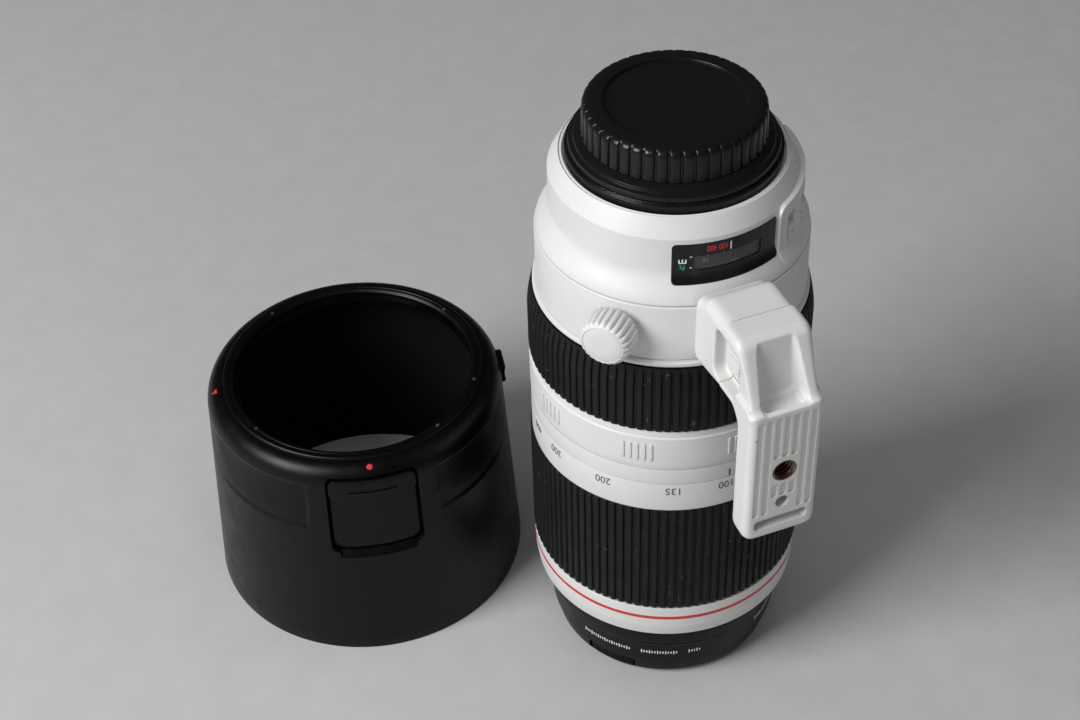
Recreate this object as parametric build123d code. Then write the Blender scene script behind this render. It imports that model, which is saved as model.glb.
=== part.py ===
from build123d import *
import math
import os

# Telephoto zoom lens standing on its front cap, with its hood beside it.
# Millimetres. +Z runs up the optical axis, from the front cap to the camera mount.
# The origin is on the optical axis, on the surface that the lens stands on.
# Azimuths are in degrees about +Z: 0 points along -Y, where the tripod foot is, and
# 90 points along +X.

# ---- driving heights along the axis ----
CAP_FRONT_TOP = 8.0
BEZEL_TOP = 19.4
BLACK_BAND_TOP = 30.0
WHITE_BAND_TOP = 44.9
ZOOM_RUBBER_TOP = 93.8
ZOOM_RING_TOP = 105.6
INDEX_RING_TOP = 112.3
TENSION_RING_TOP = 129.0
FOCUS_RING_TOP = 155.6
COLLAR_TOP = 178.6
BARREL_FLARE_TOP = 189.1
CHAMFER_LOW = 200.8
SHOULDER_TOP = 207.0
MOUNT_PLANE = 209.5
REAR_CAP_TOP = 224.6

# ---- driving radii ----
R_WIDEST = 47.0
R_ZOOM_RUBBER = 47.3
R_BAND = 46.7
R_RING_BORE = 43.45
R_MAIN_TUBE = 43.35
R_MAIN_BORE = 41.65
R_SLEEVE = 41.58
R_SLEEVE_BORE = 40.0
R_COLLAR = 44.0
R_COLLAR_BORE = 41.3
R_REAR_TUBE = 41.2
R_REAR_BORE = 39.5
R_FILTER = 38.5
R_CAP = 39.3
R_BEZEL = 41.0
R_BLACK_BAND = 42.6
R_REAR_BARREL = 39.3
R_REAR_FLARE = 43.6
R_SHOULDER = 36.0
R_GUIDE = 38.4
R_CAM_TUBE = 36.3
R_CELL = 34.2
GAP = 0.15

# ---- front cap tabs ----
TAB_AZIMUTHS = (127.0, -53.0)
TAB_LOW = 2.4
TAB_HIGH = 6.4

# ---- mount ----
R_MOUNT_FLANGE = 32.9
R_MOUNT_NECK = 25.2
R_MOUNT_THROAT = 23.5
R_MOUNT_LUG = 26.9
LUG_COUNT = 3
LUG_SPREAD = 52.0

# ---- tripod collar, foot and knob ----
FOOT_HALF_WIDTH = 12.2
FOOT_JOINT = 61.5
FOOT_BACK = 73.0
FOOT_FACE = 83.3
FOOT_LOW = 114.6
FOOT_PLATE_TOP = 167.5
FOOT_TOP = 187.5
TRIPOD_HOLE_Z = 142.6
PIN_HOLE_Z = 129.3
GROOVE_WIDTH = 1.9
GROOVE_DEPTH = 0.6
GROOVE_PITCH = 2.97
GROOVE_LOW = 125.3
GROOVE_TOP = 165.0
GROOVE_BREAKS = ((132.1, 137.4), (148.3, GROOVE_TOP))
SCOOP_DRAFT = 18.0
SCOOP_FLOOR = 167.2
SLOT_Z = 121.4
TRIPOD_THREAD_RADIUS = 3.175
WHEEL_RADIUS = 10.5
WHEEL_Z = 174.0
WHEEL_IN = 62.0
WHEEL_OUT = 69.6
POCKET_NEAR = 57.0
POCKET_FAR = 70.0
POCKET_FLOOR = 8.6
POCKET_HALF_HEIGHT = 9.2
KNOB_AZIMUTH = -47.0
KNOB_Z = 169.0
KNOB_RADIUS = 8.4
KNOB_IN = 45.6
KNOB_OUT = 54.6

# ---- window and switch panel ----
WINDOW_AZIMUTH = 1.2
WINDOW_SPREAD = 52.4
WINDOW_LOW = 183.5
WINDOW_HIGH = 199.2
GLASS_SPREAD = 33.8
GLASS_LOW = 189.2
GLASS_HIGH = 194.9
PANEL_AZIMUTH = 63.0
PANEL_SPREAD = 70.0
PANEL_LOW = 180.6
PANEL_HIGH = 201.5
SWITCH_AZIMUTHS = (37.0, 54.5, 72.0, 89.5)
SWITCH_NAMES = ("focus_mode", "focus_limit", "stabiliser", "stabiliser_mode")

# ---- hood, which stands beside the lens with its mount end up ----
HOOD_X = -91.8
HOOD_Y = 72.2
HOOD_HEIGHT = 88.0
HOOD_R_LOW = 58.0
HOOD_R_SHOULDER = 53.6
HOOD_SHOULDER_Z = 79.0
HOOD_R_RIM = 47.3
HOOD_R_BORE = 43.0
HOOD_WALL = 2.0
HOOD_TAPER = (HOOD_R_LOW - HOOD_R_SHOULDER) / HOOD_SHOULDER_Z
DOOR_AZIMUTH = -11.2
DOOR_SPREAD = 35.0
DOOR_LOW = 49.0
DOOR_HIGH = 83.0
BUTTON_AZIMUTH = 78.8
BUTTON_Z = 78.5

UP = (Align.CENTER, Align.CENTER, Align.MIN)


# ---------------------------------------------------------------- helpers
def rod(radius, low, high):
    """Solid cylinder on the axis between two heights."""
    return Pos(0, 0, low) * Cylinder(radius, high - low, align=UP)


def ring(inner, outer, low, high):
    """Plain tube on the axis."""
    return rod(outer, low, high) - rod(inner, low - 1, high + 1)


def lathe(points, arc=360.0):
    """Solid of revolution of a closed outline of (radius, height) points."""
    face = Plane.XZ * make_face(Polyline(*points, close=True))
    return revolve(face, Axis.Z, revolution_arc=arc)


def turn(azimuth, shape):
    """Carry a shape built towards -Y round to an azimuth."""
    return Rot(0, 0, azimuth) * shape


def arc_band(points, azimuth, spread):
    """Sector of a solid of revolution, centred on an azimuth."""
    return Rot(0, 0, azimuth - 90.0 - spread / 2) * lathe(points, spread)


def sector(inner, outer, low, high, azimuth, spread):
    """Sector of a plain tube."""
    corners = [(inner, low), (outer, low), (outer, high), (inner, high)]
    return arc_band(corners, azimuth, spread)


def radial_rod(radius, start, end, height):
    """Cylinder lying along -Y between two distances from the axis."""
    return Pos(0, -start, height) * Rot(90, 0, 0) * Cylinder(radius, end - start, align=UP)


def upright_rod(radius, distance, low, high):
    """Upright cylinder at a distance from the axis, towards -Y."""
    return Pos(0, -distance, low) * Cylinder(radius, high - low, align=UP)


def block(half_width, near, far, low, high):
    """Box reaching out along -Y."""
    centre = Pos(0, -(near + far) / 2, (low + high) / 2)
    return centre * Box(2 * half_width, far - near, high - low)


def lens_element(radius, low, high, sag_low, sag_high):
    """Glass disc; positive sags bulge outward, negative sags are hollow."""
    steps = 10
    points = []
    for step in range(steps + 1):
        share = step / steps
        points.append((radius * share, low - sag_low * (1 - share * share)))
    for step in range(steps, -1, -1):
        share = step / steps
        points.append((radius * share, high + sag_high * (1 - share * share)))
    return lathe(points)


def spaced(shape, count, first=0.0):
    """The same shape repeated evenly round the axis."""
    return [turn(first + 360.0 * index / count, shape) for index in range(count)]


def rear_radius(height):
    """Outer radius of the rear barrel: a cone that eases into a cylinder."""
    low = COLLAR_TOP + 0.3
    share = min(max((height - low) / (BARREL_FLARE_TOP - low), 0.0), 1.0)
    ease = share * share * (3 - 2 * share)
    return R_REAR_FLARE - (R_REAR_FLARE - R_REAR_BARREL) * ease


def rear_slice(low, high, under, over):
    """Outline that follows the rear barrel's surface between two heights."""
    steps = 8
    heights = [low + (high - low) * index / steps for index in range(steps + 1)]
    outside = [(rear_radius(height) + over, height) for height in heights]
    inside = [(rear_radius(height) - under, height) for height in reversed(heights)]
    return outside + inside


def panel_radius(height):
    """Outer radius of the switch panel, which stands proud of the rear barrel's neck."""
    return max(rear_radius(height) + 0.3, 40.7)


def panel_outline(under):
    """Outline of the switch panel, or of its seat, as (radius, height)."""
    steps = 8
    heights = [PANEL_LOW + (PANEL_HIGH - PANEL_LOW) * index / steps for index in range(steps + 1)]
    outside = [(panel_radius(height), height) for height in heights]
    inside = [(rear_radius(height) - under, height) for height in reversed(heights)]
    return outside + inside


def hood_radius(height):
    """Outer radius of the hood's cone."""
    return HOOD_R_LOW - HOOD_TAPER * height


parts = {}

# ---------------------------------------------------------------- front cap
def front_cap():
    shell = lathe([(0, 0), (R_CAP - 2.9, 0), (R_CAP - 0.9, 1.6), (R_CAP, 3.0), (R_CAP, CAP_FRONT_TOP),
                   (0, CAP_FRONT_TOP)])
    boss = ring(33.0, R_FILTER - 0.25, CAP_FRONT_TOP, CAP_FRONT_TOP + 3.0)
    body = shell + boss
    for azimuth in TAB_AZIMUTHS:
        body -= turn(azimuth, block(9.4, 27.5, 50.0, TAB_LOW - 0.2, TAB_HIGH + 0.2))
    return body


def front_cap_tab(azimuth):
    tab = block(9.1, 31.0, 44.0, TAB_LOW, TAB_HIGH) & rod(R_CAP - 0.2, 0, CAP_FRONT_TOP)
    return turn(azimuth, tab)


parts["front_cap"] = front_cap()
parts["front_cap_tab_right"] = front_cap_tab(TAB_AZIMUTHS[0])
parts["front_cap_tab_left"] = front_cap_tab(TAB_AZIMUTHS[1])


# ---------------------------------------------------------------- front barrel
def front_bezel():
    low = CAP_FRONT_TOP + GAP
    outside = [(R_FILTER, low), (R_BEZEL - 0.9, low), (R_BEZEL, low + 1.1), (R_BEZEL, BEZEL_TOP - 0.8),
               (41.7, BEZEL_TOP), (R_BLACK_BAND, BEZEL_TOP + 1.4), (R_BLACK_BAND, BLACK_BAND_TOP)]
    inside = [(39.9, BLACK_BAND_TOP), (39.9, 14.0), (R_FILTER, 14.0)]
    return lathe(outside + inside)


def white_band():
    low = BLACK_BAND_TOP
    outline = [(R_SLEEVE, low), (45.4, low), (46.2, low + 0.8), (46.8, low + 5.0),
               (47.1, WHITE_BAND_TOP), (R_SLEEVE, WHITE_BAND_TOP)]
    return lathe(outline)


parts["front_bezel"] = front_bezel()
parts["white_band"] = white_band()
parts["extending_sleeve"] = ring(R_SLEEVE_BORE, R_SLEEVE, BLACK_BAND_TOP, 150.0)
parts["front_cell"] = ring(36.2, 39.9, 15.0, BLACK_BAND_TOP) + ring(36.2, 39.6, BLACK_BAND_TOP - 0.5, 52.0)
parts["front_retaining_ring"] = ring(34.0, 38.3, 13.2, 15.0)
parts["front_element"] = lens_element(36.2, 19.0, 26.0, 3.0, -0.8)
parts["second_element"] = lens_element(36.2, 34.0, 42.0, 3.2, 0.6)


# ---------------------------------------------------------------- main barrel
def main_tube():
    wide = ring(R_MAIN_BORE, R_MAIN_TUBE, WHITE_BAND_TOP + 2.0, 153.0)
    step = ring(R_REAR_BORE, R_MAIN_TUBE, 151.6, 154.4)
    narrow = ring(R_REAR_BORE, R_REAR_TUBE, 153.0, 181.0)
    floor_web = ring(36.6, R_REAR_BORE + 0.5, 151.6, 153.2)
    return wide + step + narrow + floor_web


def index_ring():
    low = ZOOM_RING_TOP + 0.2
    return ring(R_MAIN_TUBE, R_BAND, low, INDEX_RING_TOP)


def rear_barrel():
    steps = 12
    low = COLLAR_TOP + 0.3
    heights = [low + (CHAMFER_LOW - low) * index / steps for index in range(steps + 1)]
    outside = [(rear_radius(height), height) for height in heights]
    crown = [(R_REAR_BARREL - 0.2, CHAMFER_LOW + 0.8), (R_SHOULDER + 0.3, SHOULDER_TOP - 0.3),
             (R_SHOULDER, SHOULDER_TOP)]
    lip = [(34.4, SHOULDER_TOP), (34.4, 206.0), (24.0, 206.0), (24.0, 203.2), (35.6, 203.2)]
    inside = [(37.2, 200.0), (37.2, 188.0), (39.0, 184.0), (39.6, 181.0), (R_REAR_TUBE, 181.0), (R_REAR_TUBE, low)]
    body = lathe(outside + crown + lip + inside)
    body -= arc_band(rear_slice(WINDOW_LOW, WINDOW_HIGH, 1.1, 2.0), WINDOW_AZIMUTH, WINDOW_SPREAD)
    body -= sector(35.0, 46.0, GLASS_LOW - 0.8, GLASS_HIGH + 0.6, WINDOW_AZIMUTH, GLASS_SPREAD + 1.5)
    body -= arc_band(panel_outline(0.9), PANEL_AZIMUTH, PANEL_SPREAD)
    for azimuth in SWITCH_AZIMUTHS:
        body -= turn(azimuth, block(2.6, 35.0, 46.0, 186.2, 197.4))
    return body


def window_bezel():
    plate = arc_band(rear_slice(WINDOW_LOW, WINDOW_HIGH, 1.1, 0.15), WINDOW_AZIMUTH, WINDOW_SPREAD)
    return plate - sector(35.0, 46.0, GLASS_LOW, GLASS_HIGH, WINDOW_AZIMUTH, GLASS_SPREAD)


def window_glass():
    return arc_band(rear_slice(GLASS_LOW, GLASS_HIGH, 1.0, -0.1), WINDOW_AZIMUTH, GLASS_SPREAD)


def switch_panel():
    plate = arc_band(panel_outline(0.9), PANEL_AZIMUTH, PANEL_SPREAD)
    for azimuth in SWITCH_AZIMUTHS:
        plate -= turn(azimuth, block(1.9, 35.0, 46.0, 186.9, 196.7))
    return plate


def switch_button(azimuth):
    thumb = block(1.6, 37.6, 41.6, 187.4, 192.6) - block(0.35, 41.1, 42.0, 187.0, 193.0)
    return turn(azimuth, thumb)


parts["main_tube"] = main_tube()
parts["index_ring"] = index_ring()
parts["rear_barrel"] = rear_barrel()
parts["window_bezel"] = window_bezel()
parts["window_glass"] = window_glass()
parts["switch_panel"] = switch_panel()
for name, azimuth in zip(SWITCH_NAMES, SWITCH_AZIMUTHS):
    parts[name + "_switch"] = switch_button(azimuth)


# ---------------------------------------------------------------- camera mount
def mount_ring():
    body = ring(R_MOUNT_THROAT, R_MOUNT_FLANGE, 206.0, MOUNT_PLANE)
    body += ring(R_MOUNT_THROAT, R_MOUNT_NECK, MOUNT_PLANE - 1, 215.5)
    for lug in range(LUG_COUNT):
        body += sector(24.5, R_MOUNT_LUG, 213.4, 215.4, 120.0 * lug, LUG_SPREAD)
    for screw in spaced(upright_rod(1.25, 29.4, 204.0, 212.0), 4, 45.0):
        body -= screw
    return body


def mount_screws():
    screw = upright_rod(1.25, 29.4, 206.0, 209.3)
    return Compound(children=spaced(screw, 4, 45.0))


def contact_block():
    return sector(20.6, R_MOUNT_THROAT, 206.2, 214.6, 180.0, 62.0)


def contact_pins():
    pin = upright_rod(0.8, 22.1, 214.6, 215.0)
    return Compound(children=[turn(180.0 + 6.6 * (index - 4), pin) for index in range(9)])


def rear_baffle():
    disc = rod(23.4, 203.2, 204.4)
    return disc - Pos(0, 0, 204) * Box(32.0, 24.0, 6.0)


parts["mount_ring"] = mount_ring()
parts["mount_seal"] = ring(33.0, 33.9, 206.1, 209.2)
parts["mount_screws"] = mount_screws()
parts["contact_block"] = contact_block()
parts["contact_pins"] = contact_pins()
parts["rear_baffle"] = rear_baffle()


# ---------------------------------------------------------------- inside the main barrel
def guide_barrel():
    body = ring(36.6, R_GUIDE, 60.0, 151.6)
    for slot in spaced(block(1.6, 30.0, 45.0, 74.0, 124.0), 3, 30.0):
        body -= slot
    return body


def cam_tube():
    body = ring(34.6, R_CAM_TUBE, 62.0, 126.0)
    slanted = Pos(0, -35.5, 98.0) * Rot(0, 38, 0) * Box(3.2, 8.0, 46.0)
    for slot in spaced(slanted, 3, 30.0):
        body -= slot
    return body


def aperture_blades():
    blade = sector(15.0, 23.8, 130.6, 130.9, 0.0, 36.0)
    return Compound(children=spaced(blade, 9))


parts["guide_barrel"] = guide_barrel()
parts["cam_tube"] = cam_tube()
parts["zoom_cell"] = ring(29.0, R_CELL, 96.0, 116.0)
parts["zoom_element"] = lens_element(29.0, 101.0, 108.0, -2.2, -2.2)
parts["aperture_housing"] = ring(24.0, 36.6, 128.4, 133.4)
parts["aperture_blades"] = aperture_blades()
parts["focus_cell"] = ring(23.0, 33.8, 138.4, 147.0)
parts["focus_element"] = lens_element(23.0, 139.6, 145.0, -1.0, 0.9)
parts["motor_stator"] = ring(34.8, 39.4, 153.3, 156.6)
parts["motor_rotor"] = ring(34.8, 38.9, 156.8, 160.4)
parts["stabiliser_housing"] = ring(33.2, 39.4, 161.6, 174.0)
parts["stabiliser_frame"] = ring(26.0, 31.6, 163.0, 166.4)
parts["stabiliser_cell"] = ring(18.0, 24.6, 163.0, 171.0)
parts["stabiliser_element"] = lens_element(18.0, 164.0, 169.0, 0.8, -0.8)
parts["rear_cell"] = ring(16.5, 22.0, 178.0, 198.0) + ring(21.0, 39.4, 178.0, 179.6)
parts["rear_element"] = lens_element(16.5, 186.0, 192.0, 1.0, 1.4)
parts["circuit_board"] = ring(24.0, 35.0, 181.2, 182.8)
parts["distance_scale"] = ring(35.5, 36.9, 187.0, 200.4)


# ---------------------------------------------------------------- zoom, tension and focus rings
def zoom_ring():
    low = WHITE_BAND_TOP + 0.3
    sleeve = ring(R_RING_BORE, 45.5, low, ZOOM_RING_TOP)
    band = ring(45.0, R_BAND, ZOOM_RUBBER_TOP, ZOOM_RING_TOP)
    return sleeve + band


def zoom_rubber():
    """Rubber sleeve with eased ends, seated on the zoom ring."""
    inner, outer = 45.5, R_ZOOM_RUBBER
    low, high = WHITE_BAND_TOP + 0.4, ZOOM_RUBBER_TOP
    return lathe([(inner, low), (outer - 0.7, low), (outer, low + 1.0), (outer, high - 1.0),
                  (outer - 0.7, high), (inner, high)])


def tension_ring():
    low = INDEX_RING_TOP + 0.2
    body = lathe([(R_RING_BORE, low), (R_BAND, low), (46.9, low + 2.0),
                  (46.9, TENSION_RING_TOP - 3.0), (46.4, TENSION_RING_TOP - 2.6),
                  (46.2, TENSION_RING_TOP), (R_RING_BORE, TENSION_RING_TOP)])
    return body


def focus_rubber():
    low = TENSION_RING_TOP + 0.3
    return lathe([(45.2, low), (46.8, low), (R_WIDEST, low + 1.5), (R_WIDEST, 146.5),
                  (46.0, 150.0), (45.5, FOCUS_RING_TOP - 0.4), (45.2, FOCUS_RING_TOP - 0.4)])


parts["zoom_ring"] = zoom_ring()
parts["zoom_rubber"] = zoom_rubber()
parts["tension_ring"] = tension_ring()
parts["focus_ring"] = ring(R_RING_BORE, 45.2, TENSION_RING_TOP + 0.2, FOCUS_RING_TOP - 0.3)
parts["focus_rubber"] = focus_rubber()


# ---------------------------------------------------------------- tripod collar
def wheel_pockets():
    """Pockets in both sides, across the joint, where the clamp wheel's rim can be reached."""
    middle = (POCKET_NEAR + POCKET_FAR) / 2
    pockets = []
    for side in (1, -1):
        place = Pos(side * (POCKET_FLOOR + 4.0), -middle, WHEEL_Z)
        pocket = place * Box(8.0, POCKET_FAR - POCKET_NEAR, 2 * POCKET_HALF_HEIGHT)
        pockets.append(fillet(pocket.edges().filter_by(Axis.X), 3.0))
    return pockets


def collar_ring():
    low = FOCUS_RING_TOP
    body = lathe([(R_COLLAR_BORE, low), (44.9, low), (45.1, low + 0.6), (45.0, low + 1.6),
                  (44.2, low + 2.2), (R_COLLAR, 160.0), (43.8, COLLAR_TOP - 0.6),
                  (43.3, COLLAR_TOP), (R_COLLAR_BORE, COLLAR_TOP)])
    base = sector(R_COLLAR_BORE - 0.3, 45.4, 158.4, 181.6, 0.0, 29.6)
    outline = Polyline((-42.0, 158.0), (-48.4, 159.3), (-FOOT_JOINT, 161.4), (-FOOT_JOINT, FOOT_TOP),
                       (-49.0, FOOT_TOP), (-45.4, 184.0), (-42.0, 184.0), close=True)
    pedestal = extrude(Plane.YZ * make_face(outline), FOOT_HALF_WIDTH, both=True)
    envelope = block(FOOT_HALF_WIDTH, 40.0, FOOT_JOINT, 150.0, FOOT_TOP)
    pedestal &= fillet(envelope.edges().filter_by(Axis.Y).group_by(Axis.Z)[-1], 2.4)
    lock_boss = turn(KNOB_AZIMUTH, radial_rod(6.4, 41.5, 45.3, KNOB_Z))
    body = body + base + pedestal + lock_boss
    body -= rod(R_COLLAR_BORE, 150, 190)
    body -= ring(40.0, 44.3, COLLAR_TOP, 190.0)
    body -= wheel_pockets()
    body -= radial_rod(2.15, 52.0, 64.0, WHEEL_Z)
    body -= turn(KNOB_AZIMUTH, radial_rod(2.55, 42.5, 46.0, KNOB_Z))
    return body


def lock_knob():
    body = radial_rod(KNOB_RADIUS, KNOB_IN, KNOB_OUT - 1.0, KNOB_Z)
    body += radial_rod(KNOB_RADIUS - 0.9, KNOB_OUT - 1.0, KNOB_OUT, KNOB_Z)
    flute = radial_rod(0.75, KNOB_IN - 1, KNOB_OUT - 1.6, KNOB_Z)
    for index in range(22):
        angle = math.radians(360.0 * index / 22)
        reach = KNOB_RADIUS + 0.2
        body -= Pos(reach * math.cos(angle), 0, reach * math.sin(angle)) * flute
    face_line = radial_rod(6.6, KNOB_OUT - 0.4, KNOB_OUT + 1, KNOB_Z)
    face_line -= radial_rod(6.3, KNOB_OUT - 1, KNOB_OUT + 2, KNOB_Z)
    body -= face_line
    body += radial_rod(2.5, 43.0, KNOB_IN, KNOB_Z)
    return turn(KNOB_AZIMUTH, body)


parts["collar_ring"] = collar_ring()
parts["lock_knob"] = lock_knob()


# ---------------------------------------------------------------- removable foot
def foot_outline():
    """Side view of the foot as (y, z, corner radius), with the lens axis at y = 0."""
    joint = -FOOT_JOINT - 0.1
    return [
        (joint, 161.4, 0), (-69.8, 161.9, 3.0), (-FOOT_BACK, 158.2, 4.2),
        (-FOOT_BACK, FOOT_LOW, 4.6), (-FOOT_FACE, FOOT_LOW, 4.6),
        (-FOOT_FACE, FOOT_PLATE_TOP, 0), (-81.0, FOOT_PLATE_TOP + 0.2, 3.0),
        (-78.8, 171.8, 6.0), (-72.4, 186.0, 3.0), (-69.6, FOOT_TOP, 2.0), (joint, FOOT_TOP, 0),
    ]


def rounded_face(corners):
    """Flat face through the corners, each rounded by its own radius."""
    face = make_face(Polyline(*[corner[:2] for corner in corners], close=True))
    for across, up, radius in corners:
        if radius > 0:
            corner = face.vertices().sort_by_distance((across, up, 0))[0]
            face = fillet(corner, radius)
    return face


def foot_groove(x, low, high):
    """Shallow round-ended groove in the foot's face."""
    plane = Plane(origin=(x, -FOOT_FACE, (low + high) / 2), x_dir=(0, 0, 1), z_dir=(0, -1, 0))
    return extrude(plane * SlotOverall(high - low, GROOVE_WIDTH), -GROOVE_DEPTH)


def foot_scoop():
    """Deep pocket in the sloping front of the foot's neck; it widens outwards from its back wall."""
    plane = Plane(origin=(0, -73.0, 178.0), x_dir=(1, 0, 0), z_dir=(0, -1, 0))
    pocket = extrude(plane * RectangleRounded(11.6, 24.0, 2.0), 14.0, taper=-SCOOP_DRAFT)
    over_floor = Pos(0, -80.0, SCOOP_FLOOR) * Box(40.0, 20.0, 40.0, align=UP)
    return pocket & over_floor


def foot_slot():
    """Round-ended slot across the lower end of the foot's face."""
    plane = Plane(origin=(0, -FOOT_FACE, SLOT_Z), x_dir=(1, 0, 0), z_dir=(0, -1, 0))
    return extrude(plane * SlotOverall(18.4, 4.4), -3.4)


def tripod_foot():
    body = extrude(Plane.YZ * rounded_face(foot_outline()), FOOT_HALF_WIDTH, both=True)
    rims = []
    for edge in body.edges():
        centre = edge.center()
        on_side = abs(abs(centre.X) - FOOT_HALF_WIDTH) < 0.01
        if on_side and centre.Y < -FOOT_JOINT - 0.2:
            rims.append(edge)
    body = fillet(rims, 2.3)
    body -= foot_scoop()
    body -= foot_slot()
    body -= radial_rod(WHEEL_RADIUS + 0.4, WHEEL_IN - 0.3, WHEEL_OUT + 0.3, WHEEL_Z)
    body -= wheel_pockets()
    body -= radial_rod(2.6, FOOT_JOINT - 1, WHEEL_IN + 1, WHEEL_Z)
    body -= radial_rod(TRIPOD_THREAD_RADIUS + 0.9, 74.5, FOOT_FACE + 1, TRIPOD_HOLE_Z)
    body -= radial_rod(2.3, 77.0, FOOT_FACE + 1, PIN_HOLE_Z)
    for index in range(-3, 4):
        spans = GROOVE_BREAKS if abs(index) < 2 else ((GROOVE_LOW, GROOVE_TOP),)
        for low, high in spans:
            body -= foot_groove(GROOVE_PITCH * index, low, high)
    return body


def thread_bush():
    outer = radial_rod(TRIPOD_THREAD_RADIUS + 0.9, 74.5, FOOT_FACE - 0.1, TRIPOD_HOLE_Z)
    return outer - radial_rod(TRIPOD_THREAD_RADIUS, 76.0, FOOT_FACE + 1, TRIPOD_HOLE_Z)


def clamp_wheel():
    body = radial_rod(WHEEL_RADIUS, WHEEL_IN, WHEEL_OUT, WHEEL_Z)
    notch = radial_rod(0.45, WHEEL_IN - 1, WHEEL_OUT + 1, WHEEL_Z)
    for index in range(36):
        angle = math.radians(10.0 * index)
        reach = WHEEL_RADIUS + 0.1
        body -= Pos(reach * math.cos(angle), 0, reach * math.sin(angle)) * notch
    return body


def clamp_screw():
    return radial_rod(2.1, 56.5, WHEEL_IN, WHEEL_Z)


parts["tripod_foot"] = tripod_foot()
parts["thread_bush"] = thread_bush()
parts["clamp_wheel"] = clamp_wheel()
parts["clamp_screw"] = clamp_screw()


# ---------------------------------------------------------------- rear cap
def rear_cap():
    low = MOUNT_PLANE + GAP
    body = lathe([(30.6, low), (32.4, low), (32.7, low + 0.5), (32.6, 211.4), (31.4, 211.9),
                  (30.9, 212.8), (28.9, 213.8), (28.6, 214.2), (28.4, 222.8), (27.6, 224.2),
                  (26.9, REAR_CAP_TOP), (22.2, REAR_CAP_TOP), (21.6, 223.4), (0, 223.4),
                  (0, 221.4), (26.0, 221.4), (27.5, 219.0), (27.5, 211.6), (30.6, 211.2)])
    for lug in range(LUG_COUNT):
        body += sector(25.7, 28.0, 210.6, 212.4, 60.0 + 120.0 * lug, 40.0)
    return body


parts["rear_cap"] = rear_cap()


# ---------------------------------------------------------------- hood
def hood_profile():
    """Outline of the hood's wall as (radius, height): cone, round shoulder and rim."""
    outside = [(hood_radius(0) - 0.8, 0), (hood_radius(0), 0.8),
               (HOOD_R_SHOULDER, HOOD_SHOULDER_Z)]
    shoulder = []
    for angle in (18, 36, 54, 72, 90):
        turned = math.radians(angle)
        shoulder.append((HOOD_R_SHOULDER - 6.3 * (1 - math.cos(turned)),
                         HOOD_SHOULDER_Z + 7.8 * math.sin(turned)))
    rim = [(HOOD_R_RIM, HOOD_HEIGHT - 0.6), (HOOD_R_RIM - 0.6, HOOD_HEIGHT), (44.9, HOOD_HEIGHT)]
    inside = [(44.9, 83.4), (47.2, 83.4), (HOOD_R_SHOULDER - HOOD_WALL, 76.0),
              (hood_radius(0) - HOOD_WALL - 0.4, 0)]
    return outside + shoulder + rim + inside


def hood_place(shape):
    return Pos(HOOD_X, HOOD_Y, 0) * shape


def hood_shell():
    body = lathe(hood_profile())
    doorway = sector(46.0, 62.0, DOOR_LOW, DOOR_HIGH, DOOR_AZIMUTH, DOOR_SPREAD)
    seat = turn(BUTTON_AZIMUTH, block(5.4, 44.0, 62.0, BUTTON_Z - 4.4, BUTTON_Z + 4.4))
    return hood_place(body - doorway - seat)


def hood_mount_ring():
    body = ring(HOOD_R_BORE, 44.9, 82.6, HOOD_HEIGHT) + ring(44.6, 46.8, 82.6, 83.4)
    for lug in range(3):
        body += sector(41.9, 43.4, 83.4, 85.0, 120.0 * lug + 20.0, 24.0)
    for hole in spaced(upright_rod(0.55, 44.3, 86.0, 90.0), 6, 25.0):
        body -= hole
    return hood_place(body)


def door_radius(height, depth):
    return hood_radius(height) - depth


def hood_door():
    spread = DOOR_SPREAD - 1.2
    low = DOOR_LOW + 0.5
    high = 78.0
    panel = arc_band([(door_radius(low, 3.9), low), (door_radius(low, 2.4), low),
                      (door_radius(high, 2.4), high), (door_radius(high, 3.9), high)],
                     DOOR_AZIMUTH, spread)
    grip = arc_band([(door_radius(66, 3.0), 73.4), (door_radius(66, 0.4), 74.2),
                     (52.6, 79.0), (50.6, 82.4), (48.6, 82.4), (48.6, 77.0), (50.4, 73.4)],
                    DOOR_AZIMUTH, spread)
    ridge = arc_band([(52.0, 75.0), (54.6, 75.2), (54.6, 76.2), (52.0, 76.6)], DOOR_AZIMUTH, 20.0)
    return hood_place(panel + grip + ridge)


def hood_button():
    body = block(5.0, 50.2, 55.2, BUTTON_Z - 4.0, BUTTON_Z + 4.0)
    body = fillet(body.edges().filter_by(Axis.Y), 1.2)
    return hood_place(turn(BUTTON_AZIMUTH, body))


parts["hood_shell"] = hood_shell()
parts["hood_mount_ring"] = hood_mount_ring()
parts["hood_door"] = hood_door()
parts["hood_button"] = hood_button()


os.makedirs("parts", exist_ok=True)
for name, shape in parts.items():
    export_step(shape, f"parts/{name}.step")
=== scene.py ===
import math

import bmesh
import bpy
from mathutils import Matrix, Vector


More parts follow.
